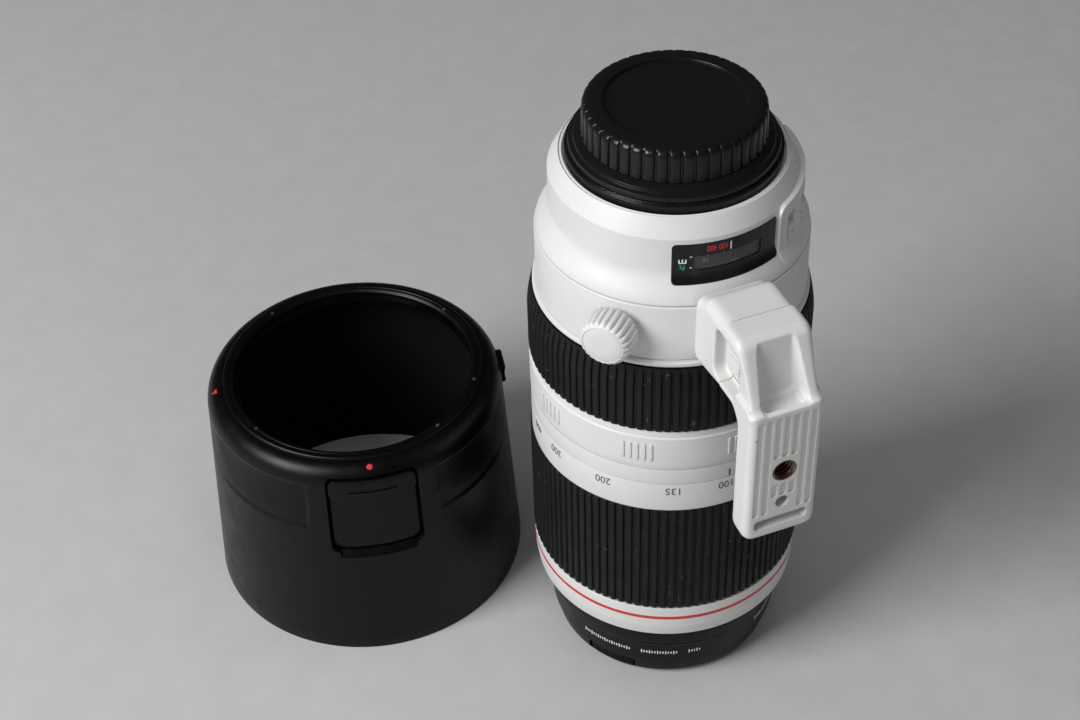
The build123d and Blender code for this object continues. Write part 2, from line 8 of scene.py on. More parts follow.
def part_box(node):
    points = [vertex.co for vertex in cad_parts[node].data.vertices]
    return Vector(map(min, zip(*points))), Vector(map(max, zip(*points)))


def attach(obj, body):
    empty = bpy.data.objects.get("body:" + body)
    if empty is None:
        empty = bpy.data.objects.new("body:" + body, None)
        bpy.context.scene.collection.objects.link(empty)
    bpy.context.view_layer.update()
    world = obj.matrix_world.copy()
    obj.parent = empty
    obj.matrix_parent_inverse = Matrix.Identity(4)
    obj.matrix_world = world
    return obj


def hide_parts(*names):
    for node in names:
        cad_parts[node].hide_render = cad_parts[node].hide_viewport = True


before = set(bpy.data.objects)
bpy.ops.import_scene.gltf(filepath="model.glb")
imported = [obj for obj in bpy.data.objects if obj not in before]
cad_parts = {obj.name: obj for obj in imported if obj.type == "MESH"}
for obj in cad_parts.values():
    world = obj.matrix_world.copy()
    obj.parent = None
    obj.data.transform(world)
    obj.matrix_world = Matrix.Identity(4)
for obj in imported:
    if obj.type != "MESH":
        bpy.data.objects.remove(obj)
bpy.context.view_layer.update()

# Outlines are in millimetres and azimuths in degrees, as in the CAD: azimuth 0 points to -Y, where
# the tripod foot stands, and 90 to +X. The mesh helpers turn them into metres.
MM = 0.001
CRISP_ANGLE = 32.0
EASED_ANGLE = 50.0
RIBBED_ANGLE = 48.0


# ---- sizes read from the frame
def extent(node):
    """Lowest and highest corner of a CAD node, in millimetres."""
    low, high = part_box(node)
    return low / MM, high / MM


def span(node):
    """Lowest and highest z of a CAD node, in millimetres."""
    low, high = extent(node)
    return low.z, high.z


def reach(node):
    """Largest radius of a round CAD node on the lens axis, in millimetres."""
    return extent(node)[1].x


def ring_size(node):
    """Lowest and highest z and the largest radius of a round CAD node."""
    return *span(node), reach(node)


def centre_of(node):
    """Middle of a CAD node's box, in millimetres."""
    low, high = extent(node)
    return (low + high) / 2


def azimuth_of(point):
    """Azimuth of a point round the lens axis."""
    return math.degrees(math.atan2(point.x, -point.y))


HOOD_CENTRE = centre_of("hood_mount_ring")
HOOD_CENTRE.z = 0.0
HOOD_PLACE = Matrix.Translation(HOOD_CENTRE)
DOOR_AZIMUTH = -11.2


# ---- materials
DUST_COLOUR = (0.35, 0.35, 0.34)


def noise(tree, scale, detail, source):
    node = tree.nodes.new("ShaderNodeTexNoise")
    node.inputs["Scale"].default_value = scale
    node.inputs["Detail"].default_value = detail
    tree.links.new(source, node.inputs["Vector"])
    return node


def spread(tree, value, low, high, start=0.35, end=0.65):
    """Map a noise value onto a range."""
    node = tree.nodes.new("ShaderNodeMapRange")
    for socket, limit in (("From Min", start), ("From Max", end), ("To Min", low), ("To Max", high)):
        node.inputs[socket].default_value = limit
    tree.links.new(value, node.inputs["Value"])
    return node.outputs["Result"]


def blend_colour(tree, factor, first, second):
    node = tree.nodes.new("ShaderNodeMix")
    node.data_type = "RGBA"
    node.inputs["A"].default_value = (*first, 1)
    node.inputs["B"].default_value = (*second, 1)
    tree.links.new(factor, node.inputs["Factor"])
    return node.outputs["Result"]


def surface(name, colour, roughness, grain=0.0, grain_size=0.4, mottle=0.05, metallic=0.0,
            coat=0.0, specular=0.5, alpha=1.0, dust=0.0):
    """Principled material with uneven colour and roughness, a fine grain and sparse dust."""
    material = bpy.data.materials.new(name)
    material.use_nodes = True
    tree = material.node_tree
    shader = tree.nodes["Principled BSDF"]
    place = tree.nodes.new("ShaderNodeTexCoord").outputs["Object"]
    patches = noise(tree, 70.0, 3.0, place)
    darker = [channel * (1 - mottle) for channel in colour]
    lighter = [min(channel * (1 + mottle), 1.0) for channel in colour]
    tint = blend_colour(tree, spread(tree, patches.outputs["Fac"], 0, 1), darker, lighter)
    if dust > 0:
        specks = noise(tree, 520.0, 1.0, place)
        share = spread(tree, specks.outputs["Fac"], 0, dust, 0.72, 0.78)
        clean, tint = tint, blend_colour(tree, share, colour, DUST_COLOUR)
        tree.links.new(clean, tint.node.inputs["A"])
    tree.links.new(tint, shader.inputs["Base Color"])
    smudges = noise(tree, 160.0, 4.0, place)
    rough = spread(tree, smudges.outputs["Fac"], roughness * 0.88, min(roughness * 1.12, 1.0))
    tree.links.new(rough, shader.inputs["Roughness"])
    shader.inputs["Metallic"].default_value = metallic
    shader.inputs["Coat Weight"].default_value = coat
    shader.inputs["Specular IOR Level"].default_value = specular
    shader.inputs["Alpha"].default_value = alpha
    if grain > 0:
        pebble = noise(tree, 1000.0 / grain_size, 2.0, place)
        bump = tree.nodes.new("ShaderNodeBump")
        bump.inputs["Strength"].default_value = grain
        bump.inputs["Distance"].default_value = 0.05 * MM
        tree.links.new(pebble.outputs["Fac"], bump.inputs["Height"])
        tree.links.new(bump.outputs["Normal"], shader.inputs["Normal"])
    return material


WHITE = (0.635, 0.635, 0.625)
BLACK = (0.0035, 0.0035, 0.004)
LOOKS = (
    surface("white_enamel", WHITE, 0.42, grain=0.25, grain_size=0.5, mottle=0.015),
    surface("white_plastic", WHITE, 0.38, grain=0.15, mottle=0.015),
    surface("black_metal", BLACK, 0.36, grain=0.15, grain_size=0.3, specular=0.2),
    surface("black_plastic", BLACK, 0.36, grain=0.3, grain_size=0.45, specular=0.25),
    surface("black_rubber", (0.0062, 0.0062, 0.0068), 0.6, grain=0.35, grain_size=0.25, mottle=0.12,
            specular=0.24, dust=0.16),
    surface("mount_chrome", (0.75, 0.75, 0.74), 0.2, metallic=1.0),
    surface("steel", (0.5, 0.5, 0.5), 0.32, metallic=1.0),
    surface("brass", (0.24, 0.16, 0.11), 0.34, metallic=1.0, mottle=0.25),
    surface("inner_aluminium", (0.2, 0.2, 0.21), 0.42, metallic=1.0),
    surface("optical_glass", (0.05, 0.06, 0.09), 0.04, alpha=0.45, coat=0.5),
    surface("clear_window", (0.14, 0.145, 0.145), 0.08, alpha=0.28, coat=0.4),
    surface("board_green", (0.02, 0.1, 0.04), 0.4, mottle=0.2),
    surface("gold_pins", (0.75, 0.55, 0.22), 0.22, metallic=1.0),
    surface("cap_plastic", (0.006, 0.006, 0.0065), 0.28, grain=0.2, grain_size=0.5, specular=0.3),
    surface("hood_plastic", (0.0012, 0.0012, 0.0016), 0.38, grain=0.5, grain_size=0.5, specular=0.22),
    surface("flocking", (0.003, 0.003, 0.003), 0.95, grain=0.6, specular=0.1),
    surface("grey_print", (0.09, 0.09, 0.09), 0.5),
    surface("white_print", (0.72, 0.73, 0.72), 0.5),
    surface("red_print", (0.55, 0.03, 0.03), 0.4),
    surface("green_print", (0.03, 0.28, 0.16), 0.5),
)
FINISHES = {look.name.split(".")[0]: look for look in LOOKS}
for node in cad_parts.values():
    for index, old in enumerate(node.data.materials):
        node.data.materials[index] = FINISHES[old.name.split(".")[0]]


# ---- mesh helpers
def rotation(angle, axis="Z"):
    return Matrix.Rotation(math.radians(angle), 4, axis)


def shift(x, y, z):
    return Matrix.Translation(Vector((x, y, z)))


def add_object(name, data):
    item = bpy.data.objects.new(name, data)
    bpy.context.scene.collection.objects.link(item)
    return item


def polar(radius, azimuth, height):
    turned = math.radians(azimuth)
    return Vector((radius * math.sin(turned), -radius * math.cos(turned), height))


def make(name, shape, finish, body, replaces=(), place=None, crisp=CRISP_ANGLE):
    """Smooth-shaded piece from (vertices, faces) in millimetres, riding on a body."""
    vertices, faces = shape
    if place is not None:
        vertices = [place @ vertex for vertex in vertices]
    mesh = bpy.data.meshes.new(name)
    mesh.from_pydata([vertex * MM for vertex in vertices], [], faces)
    tidy = bmesh.new()
    tidy.from_mesh(mesh)
    bmesh.ops.remove_doubles(tidy, verts=tidy.verts, dist=0.0005 * MM)
    bmesh.ops.recalc_face_normals(tidy, faces=tidy.faces)
    tidy.to_mesh(mesh)
    tidy.free()
    mesh.materials.append(FINISHES[finish])
    piece = add_object(name, mesh)
    smooth(piece, crisp)
    if body is not None:
        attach(piece, body)
    if replaces:
        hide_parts(*replaces)
    return piece


def smooth(piece, crisp=CRISP_ANGLE):
    mesh = piece.data
    mesh.polygons.foreach_set("use_smooth", [True] * len(mesh.polygons))
    mesh.set_sharp_from_angle(angle=math.radians(crisp))


def apply_modifiers(piece):
    """Replace a piece's mesh by what its modifiers make of it."""
    bpy.context.view_layer.update()
    seen = piece.evaluated_get(bpy.context.evaluated_depsgraph_get())
    mesh = bpy.data.meshes.new_from_object(seen)
    piece.modifiers.clear()
    piece.data = mesh


def combine(piece, shapes, operation):
    """Boolean of a piece with (vertices, faces) shapes, one after another."""
    for shape in shapes:
        tool = make(piece.name + "_tool", shape, "black_metal", None)
        tool.data.materials.clear()
        tool.data.materials.append(piece.data.materials[0])
        cut = piece.modifiers.new("cut", "BOOLEAN")
        cut.operation = operation
        cut.solver = "EXACT"
        cut.object = tool
        apply_modifiers(piece)
        bpy.data.objects.remove(tool)
    smooth(piece)


def carve(piece, cutters):
    """Cut the (vertices, faces) shapes out of a piece."""
    combine(piece, cutters, "DIFFERENCE")


def ease_edges(piece, width, angle=40.0, segments=2, clamp=True):
    """Round the sharp edges of a piece."""
    bevel = piece.modifiers.new("eased_edges", "BEVEL")
    bevel.width = width * MM
    bevel.segments = segments
    bevel.limit_method = "ANGLE"
    bevel.angle_limit = math.radians(angle)
    bevel.use_clamp_overlap = clamp
    apply_modifiers(piece)
    smooth(piece, EASED_ANGLE)


def relax(piece, voxel, rounds):
    """Rebuild a solid from small cells and relax it, so that its edges are soft like a painted casting's."""
    remesh = piece.modifiers.new("cells", "REMESH")
    remesh.mode = "VOXEL"
    remesh.voxel_size = voxel * MM
    ease = piece.modifiers.new("relaxed", "SMOOTH")
    ease.factor = 0.5
    ease.iterations = rounds
    apply_modifiers(piece)
    smooth(piece)


def merged(*shapes):
    """Several shapes as one."""
    vertices, faces = [], []
    for more_vertices, more_faces in shapes:
        offset = len(vertices)
        vertices += more_vertices
        faces += [[index + offset for index in face] for face in more_faces]
    return vertices, faces


def placed(shape, place):
    return [place @ vertex for vertex in shape[0]], shape[1]


def rounded(corners, radius, steps=3):
    """Closed outline with every corner eased; a corner's third value is carried along.

    radius is one value for all the corners, or a list with one for each.
    """
    count = len(corners)
    radii = radius if isinstance(radius, list) else [radius] * count
    full = [Vector((*corner, 0)) if len(corner) == 2 else Vector(corner) for corner in corners]
    eased = []
    for index, corner in enumerate(full):
        before, after = full[index - 1] - corner, full[(index + 1) % count] - corner
        flat_before, flat_after = before.to_2d(), after.to_2d()
        if flat_before.length < 1e-6 or flat_after.length < 1e-6:
            eased.append(corner)
            continue
        turn = math.pi - flat_before.angle(flat_after)
        if turn < math.radians(4):
            eased.append(corner)
            continue
        back = min(radii[index] * math.tan(turn / 2), 0.45 * flat_before.length, 0.45 * flat_after.length)
        start = corner + before * (back / flat_before.length)
        end = corner + after * (back / flat_after.length)
        for step in range(steps + 1):
            share = step / steps
            eased.append(start * (1 - share) ** 2 + corner * 2 * share * (1 - share) + end * share ** 2)
    return eased


def even_azimuths(count=360):
    return [360.0 * index / count for index in range(count)]


def rib_profile(half):
    """Stops of a whole rib and the groove before it, from the stops on one side of its middle."""
    return [(-0.5, 0.0)] + [(-place, height) for place, height in reversed(half) if place > 0] + half


def rib_pattern(count, stops):
    """Azimuths and heights, from 0 to 1, of evenly spaced ribs; stops are (place in the pitch, height)."""
    azimuths, heights = [], []
    for rib in range(count):
        for offset, height in stops:
            azimuths.append(360.0 * (rib + offset) / count)
            heights.append(height)
    return azimuths, heights


def revolve(outline, azimuths=None, raised=None, warp=None, full=True):
    """Closed outline of (radius, height, rib) swept round the axis.

    rib times raised is added to the radius, and warp(azimuth, radius, height) may move it.
    """
    azimuths = azimuths or even_azimuths()
    points = [tuple(point) if len(point) == 3 else (*point, 0.0) for point in outline]
    vertices, faces = [], []
    for index, azimuth in enumerate(azimuths):
        lift = raised[index] if raised else 0.0
        for radius, height, rib in points:
            reached = radius + rib * lift
            if warp is not None:
                reached = warp(azimuth, reached, height)
            vertices.append(polar(reached, azimuth, height))
    size, rows = len(points), len(azimuths)
    for row in range(rows if full else rows - 1):
        here, there = row * size, (row + 1) % rows * size
        for index in range(size):
            following = (index + 1) % size
            faces.append([here + index, there + index, there + following, here + following])
    if not full:
        faces.append(list(range(size)))
        faces.append([(rows - 1) * size + index for index in reversed(range(size))])
    return vertices, faces


def wrapped_plate(azimuth, half_angle, low, high, corner, inner, outer, columns=24, rows=6):
    """Plate with rounded corners that follows a round surface.

    inner and outer are its radii, as numbers or as functions of height.
    """
    inner_at = inner if callable(inner) else lambda height: inner
    outer_at = outer if callable(outer) else lambda height: outer
    radius = outer_at((low + high) / 2)
    half_width = radius * math.radians(half_angle)
    corner = min(corner, 0.49 * (high - low), 0.95 * half_width)
    offsets = [half_width - corner * (1 - math.sin(math.radians(angle))) for angle in (0, 22.5, 45, 67.5, 90)]
    straight = half_width - corner
    inside = [-straight + 2 * straight * index / columns for index in range(1, columns)]
    stations = [-offset for offset in reversed(offsets)] + inside + offsets
    tops, bottoms = [], []
    for station in stations:
        past = max(abs(station) - straight, 0.0)
        drop = corner - math.sqrt(max(corner ** 2 - past ** 2, 0.0))
        angle = azimuth + math.degrees(station / radius)
        for row in range(rows + 1):
            height = low + drop + (high - low - 2 * drop) * row / rows
            tops.append(polar(outer_at(height), angle, height))
            bottoms.append(polar(inner_at(height), angle, height))
    width, count = rows + 1, len(stations)
    faces = []
    for column in range(count - 1):
        for row in range(rows):
            a, b = column * width + row, (column + 1) * width + row
            faces.append([a, b, b + 1, a + 1])
            faces.append([len(tops) + index for index in (a + 1, b + 1, b, a)])
    border = [column * width for column in range(count)]
    border += [(count - 1) * width + row for row in range(1, width)]
    border += [column * width + rows for column in reversed(range(count - 1))]
    border += [row for row in reversed(range(1, rows))]
    for index, here in enumerate(border):
        there = border[(index + 1) % len(border)]
        faces.append([here, len(tops) + here, len(tops) + there, there])
    return tops + bottoms, faces


def skin(radius_at, offset):
    """A surface's radius as a function of height, moved outward by an offset."""
    return lambda height: radius_at(height) + offset


def extruded(outline, half_width, place):
    """Closed outline of (across, up) points pushed both ways along X, then placed."""
    count = len(outline)
    vertices = []
    for side in (-1, 1):
        vertices += [place @ Vector((side * half_width, point[0], point[1])) for point in outline]
    faces = [list(reversed(range(count))), list(range(count, 2 * count))]
    for index in range(count):
        following = (index + 1) % count
        faces.append([index, following, following + count, index + count])
    return vertices, faces


def lofted(rings):
    """Skin through closed rings with the same number of points, capped at both ends."""
    count = len(rings[0])
    vertices = [point for ring in rings for point in ring]
    faces = [list(range(count)), list(range(len(vertices) - count, len(vertices)))]
    for row in range(len(rings) - 1):
        here, there = row * count, (row + 1) * count
        for index in range(count):
            following = (index + 1) % count
            faces.append([here + index, here + following, there + following, there + index])
    return vertices, faces


def facing(azimuth, distance, height):
    """Frame whose -Y points outward at an azimuth, at a distance from the axis."""
    return rotation(azimuth) @ shift(0, -distance, height)


def outward(azimuth, distance, height):
    """Frame whose +Z points outward at an azimuth, for pieces turned about a radial line."""
    return facing(azimuth, distance, height) @ rotation(90, "X")


def ring(name, finish, body, replaces, easing, corners, place=None):
    """Turned piece from the corners of its section, each of them eased."""
    return make(name, revolve(rounded(corners, easing)), finish, body, replaces, place)


# ---- printed marks
def lettering(text, height, azimuth, middle, radius, narrow=0.92, weight=0.0):
    """Digits laid on a round surface, upside down because the lens stands on its front."""
    curve = bpy.data.curves.new("digits", "FONT")
    curve.body = text
    curve.align_x = "CENTER"
    curve.resolution_u = 4
    curve.offset = weight
    curve.extrude = 0.015
    holder = add_object("digits", curve)
    bpy.context.view_layer.update()
    mesh = bpy.data.meshes.new_from_object(holder.evaluated_get(bpy.context.evaluated_depsgraph_get()))
    bpy.data.objects.remove(holder)
    top = max(vertex.co.y for vertex in mesh.vertices)
    scale = height / top
    vertices = []
    for vertex in mesh.vertices:
        angle = azimuth - math.degrees(vertex.co.x * scale * narrow / radius)
        vertices.append(polar(radius + vertex.co.z * scale, angle, middle - (vertex.co.y - top / 2) * scale))
    faces = [list(polygon.vertices) for polygon in mesh.polygons]
    bpy.data.meshes.remove(mesh)
    return vertices, faces


def tick(azimuth, width, low, high, radius):
    half_angle = math.degrees(width / 2 / radius)
    return wrapped_plate(azimuth, half_angle, low, high, 0.05, radius - 0.1, radius + 0.03, 2, 1)


# ---- front cap and front barrel
# A pressed tab slides 2.2 mm inward, so its pocket is wider than the tab at rest needs.
TAB_HALF_ANGLE = 12.8
TAB_RIDGE_HALF_ANGLE = 12.1
TAB_POCKET_HALF_ANGLE = 14.0
TAB_POCKET_LOW, TAB_POCKET_HIGH = 2.2, 6.6
FILTER_RADIUS = 38.5


def front_cap():
    low, high, rim = ring_size("front_cap")
    top = span("front_bezel")[0] - 0.15
    piece = ring("front_cap_body", "cap_plastic", "front_cap", ["front_cap"], 0.35, [
        (0.01, low), (rim - 2.9, low), (rim - 0.9, low + 1.6), (rim, low + 3.0), (rim, top),
        (38.2, top), (38.2, high), (33.0, high), (33.0, top), (0.01, top)])
    pockets = []
    for side in ("right", "left"):
        azimuth = azimuth_of(centre_of("front_cap_tab_" + side))
        pockets.append(wrapped_plate(azimuth, TAB_POCKET_HALF_ANGLE, TAB_POCKET_LOW, TAB_POCKET_HIGH, 0.6,
                                     27.5, 50.0))
    carve(piece, pockets)


def cap_tab(side):
    """Sprung tab of the front cap, with three ridges to press on."""
    node = "front_cap_tab_" + side
    low, high = span(node)
    azimuth = azimuth_of(centre_of(node))
    rim = reach("front_cap") - 0.25
    shapes = [wrapped_plate(azimuth, TAB_HALF_ANGLE, low, high, 0.5, 31.0, rim - 0.5)]
    for ridge in range(3):
        height = low + 0.9 + 1.1 * ridge
        shapes.append(wrapped_plate(azimuth, TAB_RIDGE_HALF_ANGLE, height - 0.28, height + 0.28, 0.25,
                                    rim - 0.8, rim))
    make(node + "_grip", merged(*shapes), "black_plastic", "cap_tab_" + side, [node])


front_cap()
cap_tab("right")
cap_tab("left")


MARK_SECTORS = ((-67.0, -39.0), (-35.0, -15.0), (-11.0, -3.5), (30.0, 62.0), (110.0, 150.0))
MARK_PITCH = 1.35
MARK_HEIGHT = 14.2


def front_bezel():
    """Black front ring; plain ticks stand where the lens has its lettering."""
    low, high, rim = ring_size("front_bezel")
    lip = high - 10.6
    wide = rim - 1.6
    ring("front_bezel_shell", "black_metal", "front_barrel", ["front_bezel"], 0.3, [
        (FILTER_RADIUS, low), (wide - 0.9, low), (wide, low + 1.1), (wide, lip - 1.4),
        (wide + 0.35, lip - 1.0), (wide + 0.35, lip - 0.6), (wide + 0.9, lip - 0.3), (wide + 1.0, lip + 0.5),
        (wide + 0.7, lip + 0.8), (rim, lip + 1.6), (rim, high), (39.9, high), (39.9, 14.0),
        (FILTER_RADIUS, 14.0)])
    marks = []
    for start, end in MARK_SECTORS:
        for index in range(int((end - start) / MARK_PITCH)):
            tall = 0.55 if index % 3 else 0.85
            marks.append(tick(start + MARK_PITCH * index, 0.42, MARK_HEIGHT - tall, MARK_HEIGHT + tall, wide))
    make("front_bezel_marks", merged(*marks), "white_print", "front_barrel")


front_bezel()


def white_band():
    low, high = span("white_band")
    ring("white_band_shell", "white_enamel", "front_barrel", ["white_band"], 0.35, [
        (41.6, low), (45.4, low), (46.2, low + 0.8), (46.8, low + 5.0), (47.1, high), (41.6, high)])
    line_low, line_high = 39.4, 40.8
    line = [(46.7, line_low), (47.0, line_low), (47.06, line_high), (46.7, line_high)]
    make("red_line", revolve(line), "red_print", "front_barrel")


white_band()


# ---- ribbed grips
GRIP_COUNT = 100
GRIP_STOPS = rib_profile([(0.15, 1.0), (0.25, 0.9), (0.30, 0.55), (0.36, 0.0)])
GRIP_DEPTH = 0.75


def grip(name, node, body, profile):
    """Rubber grip; profile lists (radius over the ribs, height)."""
    low, high = span(node)
    azimuths, raised = rib_pattern(GRIP_COUNT, GRIP_STOPS)
    outside = [(radius - GRIP_DEPTH, height, GRIP_DEPTH) for radius, height in profile]
    inside = [(45.4, high, 0.0), (45.4, low, 0.0)]
    make(name, revolve(outside + inside, azimuths, raised), "black_rubber", body, [node])


def zoom_grip():
    low, high, rim = ring_size("zoom_rubber")
    grip("zoom_grip", "zoom_rubber", "zoom_ring",
         [(rim - 0.6, low), (rim - 0.15, low + 0.3), (rim, low + 0.8), (rim, (low + high) / 2),
          (rim, high - 0.8), (rim - 0.15, high - 0.3), (rim - 0.6, high)])


def focus_grip():
    """The grip narrows towards the collar over its last few millimetres."""
    low, high, rim = ring_size("focus_rubber")
    straight, steps = 17.2, 6
    profile = [(rim - 0.7, low), (rim - 0.2, low + 0.3), (rim, low + 1.2), (rim, low + 9.0),
               (rim, low + straight)]
    for step in range(1, steps + 1):
        share = step / steps
        profile.append((rim - 1.5 * share ** 1.4, low + straight + (high - low - straight) * share))
    grip("focus_grip", "focus_rubber", "focus_ring", profile)


zoom_grip()
focus_grip()


# ---- zoom, index and tension rings
FOCAL_MARKS = {"100": 0.0, "135": -21.9, "200": -51.3, "300": -76.8, "400": -92.8}


RING_BORE = 43.45
PATCH_AZIMUTH, PATCH_PITCH, PATCH_RIB_PITCH = -79.9, 43.0, 2.83


def zoom_band():
    start, high = span("zoom_ring")
    low = span("zoom_rubber")[1]
    rim = reach("index_ring")
    ring("zoom_band", "white_enamel", "zoom_ring", ["zoom_ring"], 0.22, [
        (RING_BORE, start), (45.5, start), (45.5, low), (rim, low), (rim, high), (RING_BORE, high)])
    middle = high - 3.0
    digits = [lettering(text, 2.9, azimuth, middle, rim + 0.03) for text, azimuth in FOCAL_MARKS.items()]
    make("zoom_band_digits", merged(*digits), "grey_print", "zoom_ring")


def index_band():
    low, high, rim = ring_size("index_ring")
    ring("index_band", "white_enamel", "main_barrel", ["index_ring"], 0.25,
         [(43.4, low), (rim, low), (rim, high), (43.4, high)])
    make("index_line", tick(1.2, 0.75, low + 0.4, low + 3.4, rim), "grey_print", "main_barrel")


def tension_band():
    """Ring with eight patches of five upright ribs."""
    low, high, rim = ring_size("tension_ring")
    lip = high - 2.7
    ring("tension_band", "white_enamel", "tension_ring", ["tension_ring"], 0.22, [
        (RING_BORE, low), (rim - 0.2, low), (rim, low + 2.0), (rim, lip), (rim - 0.55, lip + 0.35),
        (rim - 0.7, high), (RING_BORE, high)])
    ribs = []
    for patch in range(8):
        for rib in range(-2, 3):
            azimuth = PATCH_AZIMUTH + PATCH_PITCH * patch + PATCH_RIB_PITCH * rib
            ribs.append(wrapped_plate(azimuth, 0.62, low + 4.1, low + 11.3, 0.45,
                                      rim - 0.5, rim + 0.32, 3, 3))
    ease_edges(make("tension_band_ribs", merged(*ribs), "white_enamel", "tension_ring"), 0.14)


zoom_band()
index_band()
tension_band()


# ---- rear barrel
BARREL_FOOT, BARREL_TOP = span("rear_barrel")
NECK_RADIUS = 39.3
FLARE_RADIUS = 43.6
FLARE_TOP = 189.1
CHAMFER_LOW = 200.8
CROWN_RADIUS = 36.0
WINDOW_AZIMUTH, WINDOW_HALF_ANGLE = 1.2, 26.15
WINDOW_LOW, WINDOW_HIGH = span("window_bezel")[0] + 1.6, span("window_bezel")[1]
GLASS_HALF_ANGLE = 16.9
GLASS_LOW, GLASS_HIGH = 189.2, 194.9


def barrel_radius(height):
    """Outer radius of the rear barrel: a cone that eases into a cylinder."""
    share = min(max((height - BARREL_FOOT) / (FLARE_TOP - BARREL_FOOT), 0.0), 1.0)
    return FLARE_RADIUS - (FLARE_RADIUS - NECK_RADIUS) * share * share * (3 - 2 * share)


def rear_barrel():
    heights = [BARREL_FOOT + (CHAMFER_LOW - BARREL_FOOT) * step / 26 for step in range(26)]
    outside = [(FLARE_RADIUS - 0.35, BARREL_FOOT), (FLARE_RADIUS, BARREL_FOOT + 0.35)]
    outside += [(barrel_radius(height), height) for height in heights[1:]]
    crown = rounded([(NECK_RADIUS, CHAMFER_LOW - 0.6), (NECK_RADIUS, CHAMFER_LOW + 0.2),
                     (CROWN_RADIUS + 0.1, BARREL_TOP - 0.15), (35.9, BARREL_TOP), (35.75, BARREL_TOP),
                     (35.6, BARREL_TOP - 0.4), (35.3, BARREL_TOP - 0.4), (35.15, BARREL_TOP)], 0.3)[3:-3]
    lip = [(34.8, BARREL_TOP), (34.4, BARREL_TOP - 0.3), (34.4, 206.0), (24.0, 206.0), (24.0, 203.2),
           (35.6, 203.2)]
    inside = [(37.2, 200.0), (37.2, 188.0), (39.0, 184.0), (39.6, 181.0), (41.2, 181.0), (41.2, BARREL_FOOT)]
    piece = make("rear_barrel_shell", revolve(outside + crown + lip + inside), "white_enamel", "main_barrel",
                 ["rear_barrel"])
    beyond = 45.0
    seats = [wrapped_plate(WINDOW_AZIMUTH, WINDOW_HALF_ANGLE + 0.2, WINDOW_LOW - 0.15, WINDOW_HIGH + 0.15,
                           1.5, skin(barrel_radius, -1.1), beyond),
             wrapped_plate(WINDOW_AZIMUTH, GLASS_HALF_ANGLE + 1.0, GLASS_LOW - 0.6, GLASS_HIGH + 0.6, 1.0,
                           35.2, beyond)]
    carve(piece, seats)


rear_barrel()


def window():
    """Black plate with the distance window, its red and white marks and the clear pane."""
    shape = wrapped_plate(WINDOW_AZIMUTH, WINDOW_HALF_ANGLE, WINDOW_LOW, WINDOW_HIGH, 1.4,
                          skin(barrel_radius, -1.1), skin(barrel_radius, 0.12), 48, 16)
    plate = make("window_plate", shape, "cap_plastic", "main_barrel", ["window_bezel"])
    carve(plate, [wrapped_plate(WINDOW_AZIMUTH, GLASS_HALF_ANGLE - 0.5, GLASS_LOW + 0.15, GLASS_HIGH - 0.15,
                                0.9, 30.0, 50.0)])
    pane = wrapped_plate(WINDOW_AZIMUTH, GLASS_HALF_ANGLE + 0.3, GLASS_LOW - 0.1, GLASS_HIGH + 0.1, 0.8,
                         skin(barrel_radius, -0.9), skin(barrel_radius, -0.25), 36, 4)
    make("window_pane", pane, "clear_window", "main_barrel", ["window_glass"])
    text_radius, tick_radius = NECK_RADIUS + 0.15, NECK_RADIUS + 0.12
    red = [lettering(text, 2.1, azimuth, 197.0, text_radius, 0.68)
           for text, azimuth in (("400", -7.5), ("100", -2.1))]
    make("infrared_marks", merged(*red), "red_print", "main_barrel")
    white = [tick(1.4, 0.45, 195.2, 198.2, tick_radius),
             lettering("m", 1.5, -20.4, 193.0, text_radius, 1.15, 0.012)]
    white += [tick(-16.7, 0.7, low, low + 0.3, tick_radius) for low in (190.4, 194.5)]
    make("window_marks", merged(*white), "white_print", "main_barrel")
    make("feet_mark", lettering("ft", 1.9, -20.5, 190.7, text_radius, 1.25), "green_print", "main_barrel")


window()


def distance_drum():
    """Scale that turns behind the window, in metres and in feet."""
    low, high, rim = ring_size("distance_scale")
    ring("distance_drum", "black_metal", "distance_scale", ["distance_scale"], 0.15,
         [(rim - 1.3, low), (rim, low), (rim, high), (rim - 1.3, high)])
    metres = {"1": 96.0, "1.2": 80.0, "1.5": 64.0, "2": 48.0, "3": 33.0, "5": 20.0, "10": 9.0}
    feet = {"100": -7.8, "3.3": 94.0, "4": 79.0, "5": 62.0, "7": 45.0, "10": 31.0, "20": 19.0, "30": 7.8}
    white = [lettering(text, 1.5, -azimuth, 190.9, rim + 0.04) for text, azimuth in metres.items()]
    green = [lettering(text, 1.7, -azimuth, 193.6, rim + 0.04) for text, azimuth in feet.items()]
    white += [tick(-8.0 * index, 0.25, 192.1, 192.6, rim) for index in range(14)]
    make("metre_scale", merged(*white), "white_print", "distance_scale")
    make("feet_scale", merged(*green), "green_print", "distance_scale")


distance_drum()


# ---- switch panel
SWITCHES = ("focus_mode", "focus_limit", "stabiliser", "stabiliser_mode")
SWITCH_TRAVEL = 3.9
PANEL_AZIMUTH, PANEL_HALF_ANGLE = 63.0, 34.9
SWITCH_MARK_HEIGHTS = (188.6, 195.0)


def panel_radius(height):
    return max(barrel_radius(height) + 0.3, 40.7)


def switch_azimuth(name):
    return azimuth_of(centre_of(name + "_switch"))


